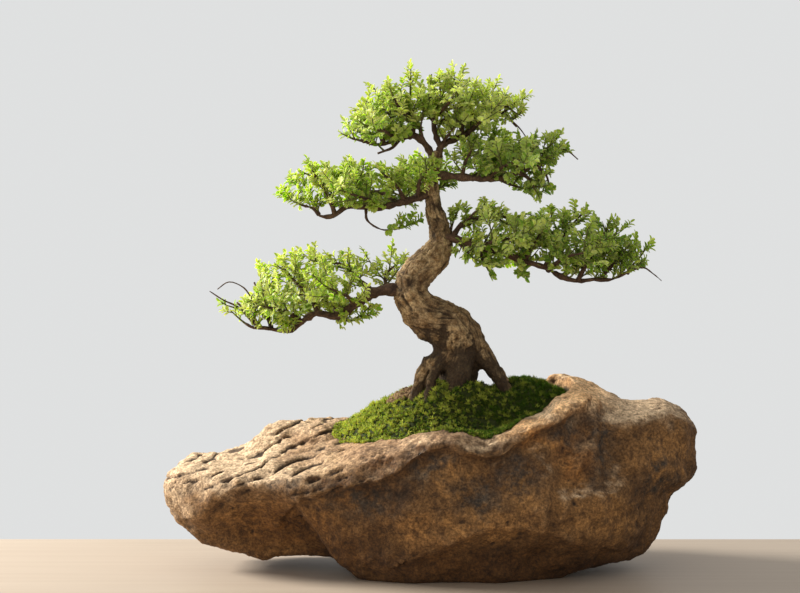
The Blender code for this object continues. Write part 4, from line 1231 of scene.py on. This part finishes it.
# %% Moss shoot template
def moss_shoot(name, leaves, rng):
    """A star of pointed three-sided leaves round an upright one."""
    bm = bmesh.new()
    for number in range(leaves):
        lean = 0.0 if number == 0 else rng.uniform(0.45, 0.95)
        spin = 2 * math.pi * number / (leaves - 1)
        long = rng.uniform(0.85, 1.15)
        turn = Matrix.Rotation(spin, 4, "Z") @ Matrix.Rotation(lean, 4, "Y")
        matrix = turn @ Matrix.Translation((0, 0, long / 2))
        bmesh.ops.create_cone(bm, cap_ends=True, segments=3, radius1=0.20, radius2=0.0, depth=long,
                              matrix=matrix)
    bmesh.ops.triangulate(bm, faces=bm.faces)
    return piece_from(name, bm)


shoot = moss_shoot("moss_shoot", 6, random.Random(3))
print("one moss shoot:", triangles(shoot), "triangles")

# %% [markdown]
# The shoots are strewn evenly over the mound, and over the stone as far from it as the moss creeps.
# None stands in the wood. A shoot on the crest of a cushion is larger and paler than one in a gap,
# and the shoots are painted paler towards the lamp on the left and darker to the right, a painted
# light and shade. The stone is dark with moisture next to the moss.

# %% Spread the moss shoots
ON_MOUND, NEAR_RIM = 5300, 2500
FAR = 0.04  # metres: where the search for the moss ends
CLEAR_OF_WOOD = 0.0007


def scattered(piece, count, rng, wanted):
    """Points spread evenly over the wanted faces of a piece, each with its face's normal."""
    faces = [face for face in piece.data.polygons if wanted(face.center / MM, face.normal)]
    areas = np.cumsum([face.area for face in faces])
    found = []
    for _ in range(count):
        face = faces[int(np.searchsorted(areas, rng.random() * areas[-1]))]
        corners = [piece.data.vertices[index].co for index in face.vertices[:3]]
        first, second = sorted((rng.random(), rng.random()))
        position = corners[0] * first + corners[1] * (second - first) + corners[2] * (1 - second)
        found.append((position, face.normal.copy()))
    return found


def surface_of(piece):
    bm = bmesh.new()
    bm.from_mesh(piece.data)
    surface = BVHTree.FromBMesh(bm)
    bm.free()
    return surface


trunk_skin = surface_of(trunk)
mound_skin = surface_of(mound)
rng = random.Random(11)


def reach(point):
    """How far the moss creeps over the stone, in millimetres, furthest at the front lip."""
    return 3.5 + (15 * math.exp(-(((point.x - 38) / 24) ** 2)) if point.y < -20 else 0)


def near_mound(at, normal):
    return normal.z > 0.15 and mound_skin.find_nearest(at * MM)[3] < reach(at) * MM


def mossiness(at):
    """Above 0 where the stone lies within the moss's reach and a little more."""
    gap = mound_skin.find_nearest(at, FAR)[3] or FAR
    return 1 - gap / MM / (reach(at / MM) + 2.5)


on_mound = scattered(mound, ON_MOUND, rng, lambda at, normal: normal.z > 0.0)
near_rim = scattered(stone, NEAR_RIM, rng, near_mound)
moss_edge = np.array([mossiness(vertex.co) for vertex in stone.data.vertices])
keep_at_points(stone, "moss_edge", np.clip(3 * moss_edge, 0, 1))
shoots = []
for position, normal in on_mound + near_rim:
    if trunk_skin.find_nearest(position)[3] < CLEAR_OF_WOOD:
        continue
    at = position / MM
    crest = cushion(at)
    size = rng.uniform(2.0, 3.6) * (0.75 + 0.4 * crest) * MM
    lean = Vector((rng.gauss(0, 0.35), rng.gauss(0, 0.35), rng.gauss(0, 0.2)))
    up = (normal + lean + UP * 0.4).normalized()
    upright = up.to_track_quat("Z", "Y").to_matrix()
    turn = Matrix.Rotation(rng.uniform(0, 2 * math.pi), 3, up) @ upright
    # Painted light and shade: the tint falls to the right, away from the lamp on the left.
    tint = 0.44 - 0.0070 * (at.x - 5) + 0.6 * (crest - 0.5) + rng.gauss(0, 0.25)
    shoots.append((position, turn, (size, size, size), clamped(tint)))
moss = set_copies("moss_shoots", shoot, shoots)
bpy.data.objects.remove(shoot)
print("moss shoots:", len(shoots))

# %% [markdown]
# The shoots run from dark green to yellow-green with their tint. The mound under them has a darker
# green of the same kind, so that the gaps between shoots read as shade.

# %% Moss materials
def moss_material(name, dark, light):
    made, tree, shader = new_material(name, 0.75)
    where = place_on_piece(tree)
    flecks = ranged(tree, grain(tree, where, 700.0, 3.0, 0.6), 0.35, 0.65)
    tinted = colour_mix(tree, kept(tree, "tint"), dark, light)
    uneven = colour_mix(tree, flecks, (0.7, 0.74, 0.7), (1.25, 1.2, 1.1))
    tree.links.new(multiplied(tree, tinted, uneven), shader.inputs["Base Color"])
    let_light_in(shader, 0.3, (0.5, 1.0, 0.15), 0.0008, 0.15)
    return made


MOUND_TINT = 0.06
moss.data.materials.append(moss_material("moss_green", (0.030, 0.055, 0.005), (0.56, 0.60, 0.095)))
keep_at_points(mound, "tint", np.full(len(mound.data.vertices), MOUND_TINT))
mound.data.materials.append(moss_material("moss_shade", (0.022, 0.032, 0.008), (0.15, 0.16, 0.03)))
place(mound, "moss", "moss")
place(moss, "moss", "moss")

# %% [markdown]
# ## The soil
# The soil fills the hollow under the moss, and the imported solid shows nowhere, so it keeps its
# shape and only gets an earthy material. Crumbs of the same earth lie where the moss thins, by the
# left root.

# %% Soil
earth_mix, tree, shader = new_material("gritty_earth", 0.95)
where = place_on_piece(tree)
crumb = grain(tree, where, 260.0, 7.0, 0.7)
soil_colour = colour_mix(tree, ranged(tree, crumb, 0.35, 0.65), (0.085, 0.045, 0.020),
                         (0.42, 0.27, 0.13))
tree.links.new(soil_colour, shader.inputs["Base Color"])
tree.links.new(bumped(tree, crumb, 0.8, 0.001), shader.inputs["Normal"])
nodes["soil"].data.materials.clear()
nodes["soil"].data.materials.append(earth_mix)
print("soil material:", earth_mix.name)

# %% [markdown]
# A crumb is a small ball with dents. The crumbs are strewn as the shoots are, but only round the
# foot of the left root.

# %% Crumbs of soil
CRUMBS = 260
CRUMB_PATCH = 9.5  # how far round the left root's foot they lie, in millimetres
bm = bmesh.new()
bmesh.ops.create_icosphere(bm, subdivisions=1, radius=1.0)
for vertex in bm.verts:
    vertex.co *= 1 + 0.25 * noise.noise(vertex.co * 2.1)
grit_grain = piece_from("grit_grain", bm)


def by_left_root(at, normal):
    return normal.z > 0.2 and (at.x + 19) ** 2 + (at.y + 4) ** 2 < CRUMB_PATCH**2


grains = []
for position, normal in scattered(mound, CRUMBS, random.Random(5), by_left_root):
    size = rng.uniform(0.9, 2.2) * MM
    tipped, spun = (Matrix.Rotation(rng.uniform(0, 6.28), 3, axis) for axis in "XZ")
    turn = tipped @ spun
    grains.append((position + normal * 1.2 * MM, turn, (size, size * 0.8, size * 0.7), 0.5))
crumbs = set_copies("soil_crumbs", grit_grain, grains)
bpy.data.objects.remove(grit_grain)
crumbs.data.materials.append(earth_mix)
crumbs.data.shade_smooth()
place(crumbs, "soil")

# %% [markdown]
# ## Table, backdrop and light
# The stone stands on a plain pale table that ends a little behind it, before a pale grey wall far
# away. A large soft lamp stands high behind the tree on the left, so that leaf edges and the left
# side of the trunk shine, and a weak wide one fills the front.

# %% Table
TABLE_WIDTH, TABLE_DEPTH, TABLE_THICKNESS, TABLE_END = 2.4, 1.3, 0.03, 0.118
bm = bmesh.new()
bmesh.ops.create_cube(bm, size=1.0)
bmesh.ops.scale(bm, verts=bm.verts, vec=(TABLE_WIDTH, TABLE_DEPTH, TABLE_THICKNESS))
table_middle = (0, TABLE_END - TABLE_DEPTH / 2, -TABLE_THICKNESS / 2)
bmesh.ops.translate(bm, verts=bm.verts, vec=table_middle)
bmesh.ops.bevel(bm, geom=bm.edges, offset=0.004, offset_type="OFFSET", segments=3, profile=0.5,
                affect="EDGES", material=-1)
table = piece_from("table_top", bm)
table.data.shade_smooth()
table.data.set_sharp_from_angle(angle=math.radians(30))
table_finish, tree, shader = new_material("pale_table", 0.45)
long_grain = {"Vector": place_on_piece(tree), "Scale": (1.5, 40.0, 1.0)}
grain_lines = add(tree, "ShaderNodeMapping", long_grain)
lines = grain(tree, grain_lines.outputs["Vector"], 3.0, 4.0, 0.55)
table_colour = colour_mix(tree, ranged(tree, lines, 0.3, 0.7), (0.47, 0.385, 0.30),
                          (0.52, 0.435, 0.345))
tree.links.new(table_colour, shader.inputs["Base Color"])
table.data.materials.append(table_finish)
print("table ends", round(TABLE_END / MM), "mm behind the middle of the stone")

# %% [markdown]
# Both lamps are discs aimed at the middle of the tree. The room around gives a soft even light, and
# only the camera sees the wall's own colour, so the wall can look paler than the light it gives.

# %% Light
def lamp(name, position, target, width, power, colour):
    data = bpy.data.lights.new(name, "AREA")
    data.shape = "DISK"
    data.size = width
    data.energy = power
    data.color = colour
    made = bpy.data.objects.new(name, data)
    bpy.context.scene.collection.objects.link(made)
    made.location = position
    aim = Vector(target) - Vector(position)
    made.rotation_euler = aim.to_track_quat("-Z", "Y").to_euler()


TREE_MIDDLE = (0, 0, 0.15)
lamp("window_light", (-1.55, 0.42, 0.92), TREE_MIDDLE, 0.7, 66, (1.0, 0.955, 0.89))
lamp("front_fill", (-0.9, -1.9, 0.9), TREE_MIDDLE, 1.4, 5.5, (1.0, 0.96, 0.92))
world = bpy.data.worlds.new("pale_room")
world.use_nodes = True
bpy.context.scene.world = world
tree = world.node_tree
room_light = tree.nodes["Background"]
room_light.inputs["Color"].default_value = (0.98, 0.95, 0.91, 1.0)
room_light.inputs["Strength"].default_value = 0.53
wall = add(tree, "ShaderNodeBackground", {"Color": (0.86, 0.87, 0.87, 1.0), "Strength": 0.86})
bpy.context.scene.view_settings.view_transform = "Standard"
seen = add(tree, "ShaderNodeLightPath").outputs["Is Camera Ray"]
mixed = add(tree, "ShaderNodeMixShader", {0: seen, 1: room_light.outputs[0], 2: wall.outputs[0]})
tree.links.new(mixed.outputs[0], tree.nodes["World Output"].inputs["Surface"])
print("lamps:", [light.name for light in bpy.data.lights])
